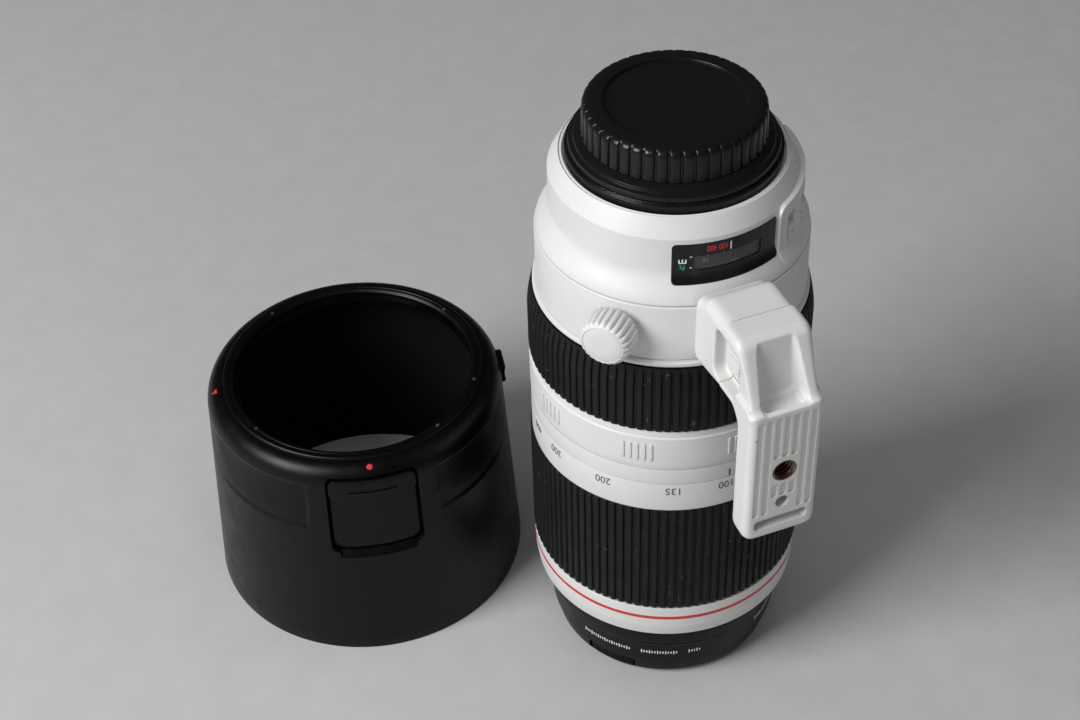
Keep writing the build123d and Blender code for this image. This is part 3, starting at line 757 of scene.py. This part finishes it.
def switch_panel():
    low, high = span("switch_panel")
    shape = wrapped_plate(PANEL_AZIMUTH, PANEL_HALF_ANGLE, low, high, 3.2, skin(barrel_radius, -0.8),
                          panel_radius, 60, 16)
    panel = make("switch_plate", shape, "white_plastic", "main_barrel", ["switch_panel"])
    ease_edges(panel, 0.3)
    slots, marks = [], []
    for name in SWITCHES:
        azimuth = switch_azimuth(name)
        thumb_low, thumb_high = span(name + "_switch")
        slots.append(wrapped_plate(azimuth, 2.75, thumb_low - 0.5, thumb_high + SWITCH_TRAVEL + 0.5, 0.5,
                                   30.0, 50.0, 6, 4))
        for height in SWITCH_MARK_HEIGHTS:
            marks.append(tick(azimuth + 4.6, 0.9, height - 0.2, height + 0.2, panel_radius(height)))
    carve(panel, slots)
    make("switch_marks", merged(*marks), "grey_print", "main_barrel")


def switch_thumb(name):
    """Sliding thumb with three ridges across it."""
    node = name + "_switch"
    low, high = span(node)
    top = panel_radius((low + high) / 2) + 0.85
    inner = -37.6
    base = [(inner, low), (-top + 0.3, low), (-top, low + 0.3)]
    for ridge in range(3):
        start = low + 1.0 + 1.15 * ridge
        base += [(-top, start), (-top + 0.35, start + 0.2), (-top + 0.35, start + 0.5), (-top, start + 0.7)]
    base += [(-top, high - 0.3), (-top + 0.3, high), (inner, high)]
    shape = extruded(base, 1.6, rotation(switch_azimuth(name)))
    ease_edges(make(node + "_thumb", shape, "white_plastic", node, [node]), 0.08)


switch_panel()
for switch in SWITCHES:
    switch_thumb(switch)


# ---- mount and rear cap
def mount_seal():
    low, high = span("mount_seal")
    ring("mount_gasket", "cap_plastic", "main_barrel", ["mount_seal"], 0.3,
         [(33.0, low), (33.9, low), (33.9, high - 0.2), (33.6, high), (33.0, high)])


def mount_index():
    """Red dot on the barrel's crown that lines up with the camera's own."""
    slope = math.degrees(math.atan2(NECK_RADIUS - CROWN_RADIUS, BARREL_TOP - CHAMFER_LOW))
    place = facing(60.0, 37.55, 204.0) @ rotation(90 - slope, "X")
    dot = rounded([(0.01, -0.3), (0.95, -0.3), (0.95, 0.06), (0.01, 0.12)], 0.05)
    make("mount_dot", revolve(dot, even_azimuths(32)), "red_print", "main_barrel", place=place)


CAP_RIBS = 45
CAP_STOPS = rib_profile([(0.1, 1.0), (0.3, 0.97), (0.37, 0.7), (0.42, 0.0)])


def rear_cap():
    low, high = span("rear_cap")
    azimuths, raised = rib_pattern(CAP_RIBS, CAP_STOPS)
    rib = 0.75
    side = [(28.0, low + 4.3, 0.1), (27.95, low + 4.6, rib * 1.15), (27.9, low + 4.9, rib * 1.25),
            (27.85, low + 5.3, rib), (27.8, low + 8.5, rib), (27.7, low + 12.6, rib),
            (27.5, low + 13.5, rib * 0.95), (27.25, low + 14.1, rib * 0.75), (26.95, low + 14.55, rib * 0.4),
            (26.5, low + 14.85, rib * 0.12), (26.0, high, 0.0)]
    flange = rounded([(30.6, low), (32.4, low), (32.75, low + 0.3), (32.6, low + 1.75), (31.25, low + 2.25),
                      (30.95, low + 3.1), (28.9, low + 4.0), (28.3, low + 4.3)], 0.14)[4:-4]
    top = [(22.3, high), (22.1, high - 0.06), (21.95, high - 0.25), (21.85, high - 1.0), (21.6, high - 1.15),
           (20.9, high - 1.2), (10.0, high - 1.2), (0.01, high - 1.2)]
    under = [(0.01, high - 3.2), (26.0, high - 3.2), (27.0, high - 5.6), (27.0, low + 2.0), (30.6, low + 1.6)]
    outline = [(30.6, low), (32.4, low)] + flange + side + top + under
    make("rear_cap_shell", revolve(outline, azimuths, raised), "cap_plastic", "rear_cap", ["rear_cap"],
         crisp=RIBBED_ANGLE)


mount_seal()
mount_index()
rear_cap()


# ---- collar lock knob
KNOB_STOPS = rib_profile([(0.0, 1.0), (0.2, 0.95), (0.3, 0.6), (0.38, 0.05)])
KNOB_RIBS = 24
KNOB_AZIMUTH = azimuth_of(centre_of("lock_knob"))
KNOB_HEIGHT = centre_of("lock_knob").z


def lock_knob():
    place = outward(KNOB_AZIMUTH, 45.6, KNOB_HEIGHT)
    azimuths, raised = rib_pattern(KNOB_RIBS, KNOB_STOPS)
    tall, rib = 9.0, 0.8
    side = [(7.5, 0.0, rib * 0.6), (7.6, 0.5, rib), (7.6, 5.0, rib), (7.55, 6.9, rib),
            (7.45, 7.7, rib * 0.85), (7.3, 8.3, rib * 0.5), (7.0, 8.75, rib * 0.15),
            (6.75, tall - 0.06, 0.0), (6.6, tall, 0.0)]
    face = [(6.5, tall, 0), (6.44, tall - 0.05, 0), (6.4, tall - 0.22, 0), (6.32, tall - 0.22, 0),
            (6.28, tall - 0.05, 0), (6.2, tall, 0), (3.0, tall + 0.02, 0), (0.01, tall + 0.03, 0)]
    foot = [(0.01, -2.4, 0), (2.5, -2.4, 0), (2.5, 0.0, 0)]
    make("lock_knob_grip", revolve(side + face + foot, azimuths, raised), "white_enamel", "lock_knob",
         ["lock_knob"], place=place, crisp=RIBBED_ANGLE)


lock_knob()


# ---- tripod collar and foot
FOOT_LOW, FOOT_TOP = span("tripod_foot")
FOOT_HALF_WIDTH = extent("tripod_foot")[1].x
FOOT_FACE = -extent("tripod_foot")[0].y
FOOT_JOINT = -extent("collar_ring")[0].y
FOOT_BACK = 73.0
PLATE_TOP = 167.5
GROOVE_PITCH = 2.97
GROOVE_LOW, GROOVE_HIGH = 125.3, 165.0
GROOVE_BREAKS = ((148.3, GROOVE_HIGH), (132.1, 137.4))
THREAD_Z, PIN_HOLE_Z = 142.6, 129.3
PIN_HOLE_RADIUS = 2.3
WHEEL_LOW, WHEEL_HIGH = extent("clamp_wheel")
WHEEL_NEAR, WHEEL_FAR = -WHEEL_HIGH.y, -WHEEL_LOW.y
WHEEL_RADIUS = WHEEL_HIGH.x
WHEEL_Z = (WHEEL_LOW.z + WHEEL_HIGH.z) / 2
UPRIGHT = Matrix.Identity(4)


def through_face(outline, near, far):
    """Closed outline of (x, z) points pushed along Y between two distances from the lens axis."""
    return extruded(outline, (far - near) / 2, shift(0, -(near + far) / 2, 0) @ rotation(-90))


def into_face(outline, depth):
    """Cutter that goes a depth into the foot's face."""
    return through_face(outline, FOOT_FACE - depth, FOOT_FACE + 2.0)


def block_across(near, far):
    """Cutter across the whole foot, between two distances from the lens axis."""
    return extruded([(-near, 150.0), (-far, 150.0), (-far, 200.0), (-near, 200.0)], 30.0, UPRIGHT)


def circle(radius, across, height, count=48):
    """Points of (x, z) round a centre."""
    turns = [math.tau * index / count for index in range(count)]
    return [(across + radius * math.cos(turn), height + radius * math.sin(turn)) for turn in turns]


def wheel_windows():
    """Hollows on both sides, across the joint, that show the clamp wheel's rim."""
    low, high = WHEEL_Z - 9.2, WHEEL_Z + 9.2
    outline = rounded([(-71.6, low), (-57.0, low), (-57.0, high), (-71.6, high)], [2.5, 3.5, 3.5, 2.5])
    floor, depth = 7.8, 8.0
    return [extruded(outline, depth / 2, shift(side * (floor + depth / 2), 0, 0)) for side in (-1, 1)]


def collar_band():
    """Clamp band with a raised rim and a groove, and the boss under its lock knob."""
    low, high = span("collar_ring")[0], BARREL_FOOT - 0.3
    ring("collar_band", "white_enamel", "collar", ["collar_ring"], 0.12, [
        (41.3, low), (44.9, low), (45.1, low + 0.5), (45.05, low + 1.4), (44.3, low + 1.8),
        (43.5, low + 1.85), (43.5, low + 2.25), (44.15, low + 2.6), (44.0, low + 5.0),
        (43.95, high - 0.25), (43.75, high), (41.3, high)])
    boss = rounded([(0.01, 0.0), (6.6, 0.0), (6.4, 3.2), (0.01, 3.2)], 0.5)
    place = outward(KNOB_AZIMUTH, 42.0, KNOB_HEIGHT)
    make("collar_boss", revolve(boss, even_azimuths(48)), "white_enamel", "collar", place=place)


def pedestal():
    """Block on the collar that carries the foot, on a pad that follows the collar."""
    past = FOOT_JOINT + 4.0
    outline = rounded([(-41.6, 158.4), (-47.6, 158.9), (-past, 161.6), (-past, FOOT_TOP), (-49.2, FOOT_TOP),
                       (-45.6, 184.2), (-41.6, 184.0)], [0.0, 3.0, 0.0, 0.0, 3.5, 2.5, 0.0])
    piece = make("collar_pedestal", extruded(outline, FOOT_HALF_WIDTH, UPRIGHT), "white_enamel", "collar")
    ease_edges(piece, 3.6, 60.0, 4, clamp=False)
    relax(piece, 0.45, 1)
    combine(piece, [wrapped_plate(0.0, 14.7, 158.8, 181.4, 3.0, 41.6, 45.3)], "UNION")
    carve(piece, wheel_windows())
    relax(piece, 0.4, 16)
    barrel = revolve([(0.01, BARREL_FOOT - 0.2), (44.3, BARREL_FOOT - 0.2), (44.3, 195.0), (0.01, 195.0)])
    carve(piece, [block_across(FOOT_JOINT, 90.0), barrel])


def upright_box(half_width, low, high, across=0.0):
    """Corners of an upright rectangle of (x, z) points."""
    return [(across - half_width, low), (across + half_width, low), (across + half_width, high),
            (across - half_width, high)]


def foot_scoop():
    """Hollow in the neck's sloping front, with an upright back wall and sides that open outwards."""
    floor, high = PLATE_TOP - 0.6, FOOT_TOP + 5.0
    back, lean = 74.3, 0.13
    rings = []
    for depth, half_width in ((0.0, 5.5), (1.2, 6.5), (14.0, 9.9)):
        corners = rounded(upright_box(half_width, floor, high), 2.0)
        rings.append([Vector((point.x, -(back - lean * (point.y - floor)) - depth, point.y))
                      for point in corners])
    tray = rounded([(-74.8, 169.0), (-81.6, 169.0), (-80.8, 165.0), (-75.6, 165.0)], 0.8)
    return [lofted(rings), extruded(tray, 6.4, UPRIGHT)]


def foot_grooves():
    """Grooves down the foot's face; the middle three leave room round the two holes."""
    grooves = []
    for index in range(-3, 4):
        for low, high in GROOVE_BREAKS if abs(index) < 2 else ((GROOVE_LOW, GROOVE_HIGH),):
            corners = upright_box(1.05, low, high, GROOVE_PITCH * index)
            grooves.append(into_face(rounded(corners, 0.8), 0.85))
    return merged(*grooves)


def foot():
    """Cast foot: a plate under the barrel and a neck that slopes up to the joint with the pedestal."""
    near, face = FOOT_JOINT - 3.5, FOOT_FACE - 0.15
    corners = [(-near, 161.4), (-69.8, 161.9), (-FOOT_BACK, 158.2), (-FOOT_BACK, FOOT_LOW), (-face, FOOT_LOW),
               (-face, PLATE_TOP), (-81.0, PLATE_TOP + 0.2), (-78.8, 171.8), (-72.4, 186.0),
               (-69.6, FOOT_TOP), (-near, FOOT_TOP)]
    radii = [0.0, 3.0, 4.2, 4.2, 3.0, 0.4, 3.0, 6.0, 3.5, 2.0, 0.0]
    side_view = extruded(rounded(corners, radii, 5), FOOT_HALF_WIDTH, UPRIGHT)
    piece = make("foot_casting", side_view, "white_enamel", "foot", ["tripod_foot"])
    front_view = rounded(upright_box(FOOT_HALF_WIDTH + 0.1, FOOT_LOW - 0.1, 200.0), [4.5, 4.5, 0.0, 0.0])
    combine(piece, [through_face(front_view, 50.0, 95.0)], "INTERSECT")
    ease_edges(piece, 2.4, 60.0, 4, clamp=False)
    relax(piece, 0.45, 1)
    waist = []
    for side in (-1, 1):
        edge = [(12.2, 185.5), (11.2, 178.0), (10.9, 168.6), (14.0, 168.2), (14.0, 185.5)]
        waist.append(through_face([(side * across, height) for across, height in edge], 70.8, 90.0))
    carve(piece, foot_scoop() + wheel_windows() + waist)
    relax(piece, 0.35, 6)
    behind = block_across(FOOT_JOINT + 0.22, 40.0)
    wheel_slot = through_face(circle(WHEEL_RADIUS + 0.7, 0.0, WHEEL_Z), FOOT_JOINT - 2.0, WHEEL_FAR + 1.1)
    thread = through_face(circle(4.08, 0.0, THREAD_Z), 74.5, FOOT_FACE + 2.0)
    pin_hole = through_face(circle(PIN_HOLE_RADIUS, 0.0, PIN_HOLE_Z), 77.0, FOOT_FACE + 2.0)
    set_screw = into_face(circle(0.45, -10.0, 158.3, 16), 4.0)
    slot = into_face(rounded([(-9.2, 119.2), (8.9, 119.4), (8.9, 123.7), (-9.2, 123.4)], 2.1, 5), 3.2)
    carve(piece, [behind, wheel_slot, foot_grooves(), slot, thread, pin_hole, set_screw])


def thread_bush():
    """Brass bush with a 1/4 inch thread, sunk just under the foot's face."""
    low, high = extent("thread_bush")
    length = high.y - low.y
    bore, pitch = [], 1.27
    for turn in range(int(length / pitch)):
        start = length - 0.5 - pitch * turn
        bore += [(3.1, start), (3.1, start - 0.25), (3.6, start - 0.64), (3.1, start - 1.02)]
    outline = [(4.05, 0.0), (4.05, length), (3.7, length), (3.25, length - 0.4)] + bore
    outline += [(3.1, 0.9), (0.01, 0.9), (0.01, 0.0)]
    place = outward(0.0, -high.y, (low.z + high.z) / 2)
    make("thread_bush_turned", revolve(outline, even_azimuths(64)), "brass", "foot", ["thread_bush"], place)


def clamp_wheel():
    azimuths, raised = rib_pattern(52, GRIP_STOPS)
    depth, rib, edge = WHEEL_FAR - WHEEL_NEAR, 0.4, 0.5
    base = WHEEL_RADIUS - rib
    side = [(base - edge, 0.0, 0.0), (base - 0.1, 0.15, rib * 0.5), (base, edge, rib),
            (base, depth - edge, rib), (base - 0.1, depth - 0.15, rib * 0.5), (base - edge, depth, 0.0)]
    outline = side + [(0.01, depth, 0.0), (0.01, 0.0, 0.0)]
    make("clamp_wheel_knurled", revolve(outline, azimuths, raised), "white_plastic", "clamp_wheel",
         ["clamp_wheel"], place=outward(0.0, WHEEL_NEAR, WHEEL_Z))


collar_band()
pedestal()
foot()
thread_bush()
clamp_wheel()


# ---- hood
HOOD_R_LOW = 58.0
HOOD_R_SHOULDER = 53.6
HOOD_SHOULDER = 79.0
SHOULDER_INSET, SHOULDER_RISE = 6.3, 7.8
MOUNT_RING_BORE = 43.0
HOOD_TOP = span("hood_mount_ring")[1]
DOOR_LOW, DOOR_HIGH = 49.0, 83.0
DOOR_HALF_ANGLE, OPENING_HALF_ANGLE = 16.7, 17.6
HOLLOW_DEPTH = 1.75


def hood_radius(height):
    return HOOD_R_LOW - (HOOD_R_LOW - HOOD_R_SHOULDER) * height / HOOD_SHOULDER


def shoulder(turned):
    """Radius and height on the rounded shoulder, at an angle in degrees up from its start."""
    angle = math.radians(turned)
    return (HOOD_R_SHOULDER - SHOULDER_INSET * (1 - math.cos(angle)),
            HOOD_SHOULDER + 0.1 + SHOULDER_RISE * math.sin(angle))


def ramp(value, start, end):
    """Smooth step from 0 to 1."""
    share = min(max((value - start) / (end - start), 0.0), 1.0)
    return share * share * (3 - 2 * share)


def finger_hollow(azimuth, radius, height):
    """The outer skin alone sinks under the shoulder on both sides of the door, for the fingers."""
    if radius <= hood_radius(height) - 0.5:
        return radius
    away = abs((azimuth - DOOR_AZIMUTH + 180.0) % 360.0 - 180.0)
    across = ramp(away, 25.0, 26.6) * (1 - ramp(away, 60.0, 76.0))
    along = ramp(height, 58.6, 60.6) * (1 - ramp(height, 78.6, 79.3))
    deepening = 0.3 + 0.7 * ramp(height, 59.0, 76.0)
    return radius - HOLLOW_DEPTH * across * along * deepening


def hood_shell():
    first, hollow_start = 0.8, 57.6
    heights = [first + (hollow_start - first) * step / 12 for step in range(12)]
    heights += [hollow_start + 0.4 * step for step in range(54)]
    outside = [(HOOD_R_LOW - 0.5, 0.0), (HOOD_R_LOW - 0.12, 0.25)]
    outside += [(hood_radius(height), height) for height in heights]
    outside += [shoulder(90.0 * step / 14) for step in range(15)]
    rim = [(47.2, HOOD_TOP - 0.9), (47.1, HOOD_TOP - 0.3), (46.8, HOOD_TOP - 0.05), (46.4, HOOD_TOP),
           (45.1, HOOD_TOP), (44.95, HOOD_TOP - 0.15)]
    inside = [(44.95, 83.4), (47.2, 83.4), (HOOD_R_SHOULDER - 2.0, 76.0)]
    inside += [(hood_radius(height) - 2.0, height) for height in (60.0, 40.0, 20.0)]
    inside += [(HOOD_R_LOW - 2.4, 0.2), (HOOD_R_LOW - 2.2, 0.0)]
    piece = make("hood_wall", revolve(outside + rim + inside, even_azimuths(480), warp=finger_hollow),
                 "hood_plastic", "hood", ["hood_shell"], HOOD_PLACE)
    button = centre_of("hood_button") - HOOD_CENTRE
    inner, outer, ledge = 46.0, 62.0, DOOR_LOW - 2.6
    cutters = [wrapped_plate(DOOR_AZIMUTH, OPENING_HALF_ANGLE, DOOR_LOW, DOOR_HIGH + 0.4, 2.8,
                             inner, outer),
               wrapped_plate(azimuth_of(button), 5.9, button.z - 4.4, button.z + 4.4, 1.4, inner, outer),
               wrapped_plate(DOOR_AZIMUTH, 14.5, ledge, DOOR_LOW + 0.4, 0.4,
                             lambda height: hood_radius(height) - 0.15 - 0.5 * (height - ledge), outer)]
    carve(piece, [placed(shape, HOOD_PLACE) for shape in cutters])
    piece.data.materials.append(FINISHES["flocking"])
    paint_inside(piece)


def paint_inside(piece):
    """The wall's inner side is flocked."""
    for polygon in piece.data.polygons:
        centre = polygon.center / MM - HOOD_CENTRE
        outward_part = polygon.normal.x * centre.x + polygon.normal.y * centre.y
        within = math.hypot(centre.x, centre.y) < hood_radius(centre.z) - 1.4
        if outward_part < 0 and within and centre.z < 83.0:
            polygon.material_index = 1


def hood_mount_ring():
    bore = MOUNT_RING_BORE
    ring("hood_bayonet", "hood_plastic", "hood", ["hood_mount_ring"], 0.25, [
        (bore, 82.6), (44.9, 82.6), (46.8, 82.6), (46.8, 83.3), (44.9, 83.3), (44.9, HOOD_TOP),
        (bore + 0.9, HOOD_TOP), (bore, HOOD_TOP - 0.8)], HOOD_PLACE)
    lugs = [wrapped_plate(120.0 * lug + 20.0, 12.0, 83.4, 85.0, 0.5, 41.9, 43.4) for lug in range(3)]
    make("hood_lugs", merged(*lugs), "hood_plastic", "hood", place=HOOD_PLACE)
    pin = revolve(rounded([(0.01, -0.6), (0.75, -0.6), (0.75, -0.02), (0.4, 0.06), (0.01, 0.08)], 0.08),
                  even_azimuths(20))
    pins = [placed(pin, HOOD_PLACE @ shift(*polar(44.7, azimuth, HOOD_TOP)))
            for azimuth in (-155.0, -67.0, 24.0, 58.5, 113.0)]
    make("hood_pins", merged(*pins), "steel", "hood")


def hood_marks():
    """Red marks on the shoulder that show where the hood goes on and locks."""
    upward = 62.0
    dot = revolve(rounded([(0.01, -0.4), (1.05, -0.4), (1.05, 0.04), (0.01, 0.1)], 0.05), even_azimuths(32))
    arrow = revolve([(0.01, -0.4), (1.5, -0.4), (1.5, 0.03), (0.01, 0.06)], even_azimuths(3))
    for name, shape, azimuth in (("hood_dot", dot, DOOR_AZIMUTH), ("hood_arrow", arrow, -100.0)):
        place = HOOD_PLACE @ facing(azimuth, *shoulder(upward)) @ rotation(90 - upward, "X")
        make(name, shape, "red_print", "hood", place=place)


def backing_radius(height):
    """Outer side of the plate that closes the gap round the door from behind."""
    return hood_radius(height) - 2.6 - 0.62 * max(height - 76.0, 0.0)


def grip_radius(height):
    """The door's grip stands level with the wall and follows the shoulder over its top."""
    if height < HOOD_SHOULDER:
        return hood_radius(height) - 0.35
    lift = min((height - HOOD_SHOULDER) / SHOULDER_RISE, 1.0)
    return HOOD_R_SHOULDER - 0.35 - SHOULDER_INSET * (1 - math.sqrt(1 - lift * lift))


def door_piece(name, finish, half_angle, low, high, corner, inner, outer, grid, replaces=()):
    """Curved plate of the sliding door; inner and outer are its radii at a height."""
    shape = wrapped_plate(DOOR_AZIMUTH, half_angle, low, high, corner, inner, outer, *grid)
    return make(name, shape, finish, "hood_door", replaces, HOOD_PLACE)


def hood_door():
    """Sliding door: a sunk panel under a raised grip with a fine ridge, and a plate behind its gap."""
    low, high = span("hood_door")
    grip_low = high - 8.6
    panel = door_piece("hood_door_panel", "hood_plastic", DOOR_HALF_ANGLE, low + 0.9, high - 3.0, 2.0,
                       skin(hood_radius, -3.9), skin(hood_radius, -1.5), (36, 12), ["hood_door"])
    ease_edges(panel, 0.12)
    door_piece("hood_door_backing", "flocking", 19.0, low - 1.5, high - 2.0, 2.0,
               skin(backing_radius, -1.2), backing_radius, (36, 12))
    cap = door_piece("hood_door_grip", "hood_plastic", DOOR_HALF_ANGLE, grip_low, high - 0.4, 2.4,
                     skin(grip_radius, -3.4), grip_radius, (36, 16))
    ease_edges(cap, 0.8, 40.0, 3)
    ridge = door_piece("hood_door_ridge", "hood_plastic", 9.8, grip_low + 2.4, grip_low + 3.2, 0.3,
                       skin(grip_radius, -0.3), skin(grip_radius, 0.35), (20, 2))
    ease_edges(ridge, 0.12)


def hood_button():
    middle = centre_of("hood_button") - HOOD_CENTRE
    half = 4.0
    outline = rounded([(-50.2, -half), (-54.6, -half), (-55.1, -half + 0.8), (-54.7, -0.6), (-54.7, 0.6),
                       (-55.1, half - 0.8), (-54.6, half), (-50.2, half)], 0.5)
    shape = extruded(outline, 4.8, HOOD_PLACE @ rotation(azimuth_of(middle)) @ shift(0, 0, middle.z))
    ease_edges(make("hood_button_cap", shape, "hood_plastic", "hood_button", ["hood_button"]), 0.4)


hood_shell()
hood_mount_ring()
hood_marks()
hood_door()
hood_button()


# ---- stage, light and camera
CAMERA_AZIMUTH = -25.4
CAMERA_DISTANCE = 0.488708
CAMERA_HEIGHT = 0.557115
CAMERA_YAW = -0.0888
CAMERA_PITCH = 0.7313
CAMERA_ROLL = -0.0334
FOCAL_LENGTH = 64.575


def camera():
    """Camera at the photo's place, turned by its yaw, pitch and roll."""
    turned = rotation(CAMERA_AZIMUTH).to_3x3()
    ahead = turned @ Vector((math.sin(CAMERA_YAW) * math.cos(CAMERA_PITCH),
                             math.cos(CAMERA_YAW) * math.cos(CAMERA_PITCH), -math.sin(CAMERA_PITCH)))
    level = turned @ Vector((math.cos(CAMERA_YAW), -math.sin(CAMERA_YAW), 0))
    upward = level.cross(ahead)
    right = level * math.cos(CAMERA_ROLL) + upward * math.sin(CAMERA_ROLL)
    above = upward * math.cos(CAMERA_ROLL) - level * math.sin(CAMERA_ROLL)
    data = bpy.data.cameras.new("camera")
    data.lens = FOCAL_LENGTH
    data.sensor_width = 36.0
    data.clip_end = 20.0
    holder = add_object("camera", data)
    pose = Matrix((right, above, -ahead)).transposed().to_4x4()
    pose.translation = polar(CAMERA_DISTANCE, CAMERA_AZIMUTH, CAMERA_HEIGHT)
    holder.matrix_world = pose
    bpy.context.scene.camera = holder


def area_light(name, azimuth, distance, height, size, power, seen=True):
    """Soft square light aimed at the lens; a light that is not seen adds no sheen to the surfaces."""
    data = bpy.data.lights.new(name, "AREA")
    data.size = size
    data.energy = power
    lamp = add_object(name, data)
    lamp.location = polar(distance, azimuth, height)
    lamp.rotation_euler = (Vector((0.0, 0.0, 0.05)) - lamp.location).to_track_quat("-Z", "Y").to_euler()
    lamp.visible_glossy = seen


def stage():
    """Plain pale floor under a faint even sky."""
    mesh = bpy.data.meshes.new("floor")
    half = 4.0
    mesh.from_pydata([(-half, -half, 0), (half, -half, 0), (half, half, 0), (-half, half, 0)], [],
                     [[0, 1, 2, 3]])
    mesh.materials.append(surface("floor_paper", (0.485, 0.485, 0.49), 0.75, grain=0.1, grain_size=2.0,
                                  mottle=0.02))
    add_object("floor", mesh)
    world = bpy.data.worlds.new("studio")
    world.use_nodes = True
    background = world.node_tree.nodes["Background"]
    background.inputs["Color"].default_value = (1.0, 1.0, 1.0, 1)
    background.inputs["Strength"].default_value = 0.05
    bpy.context.scene.world = world
    bpy.context.scene.view_settings.view_transform = "Standard"


stage()
camera()
area_light("key", CAMERA_AZIMUTH - 54.5, distance=1.3, height=1.05, size=0.8, power=29.0)
area_light("overhead", CAMERA_AZIMUTH, distance=0.1, height=2.0, size=1.6, power=8.0, seen=False)
area_light("front_fill", CAMERA_AZIMUTH + 30.0, distance=2.0, height=0.9, size=1.2, power=5.5, seen=False)
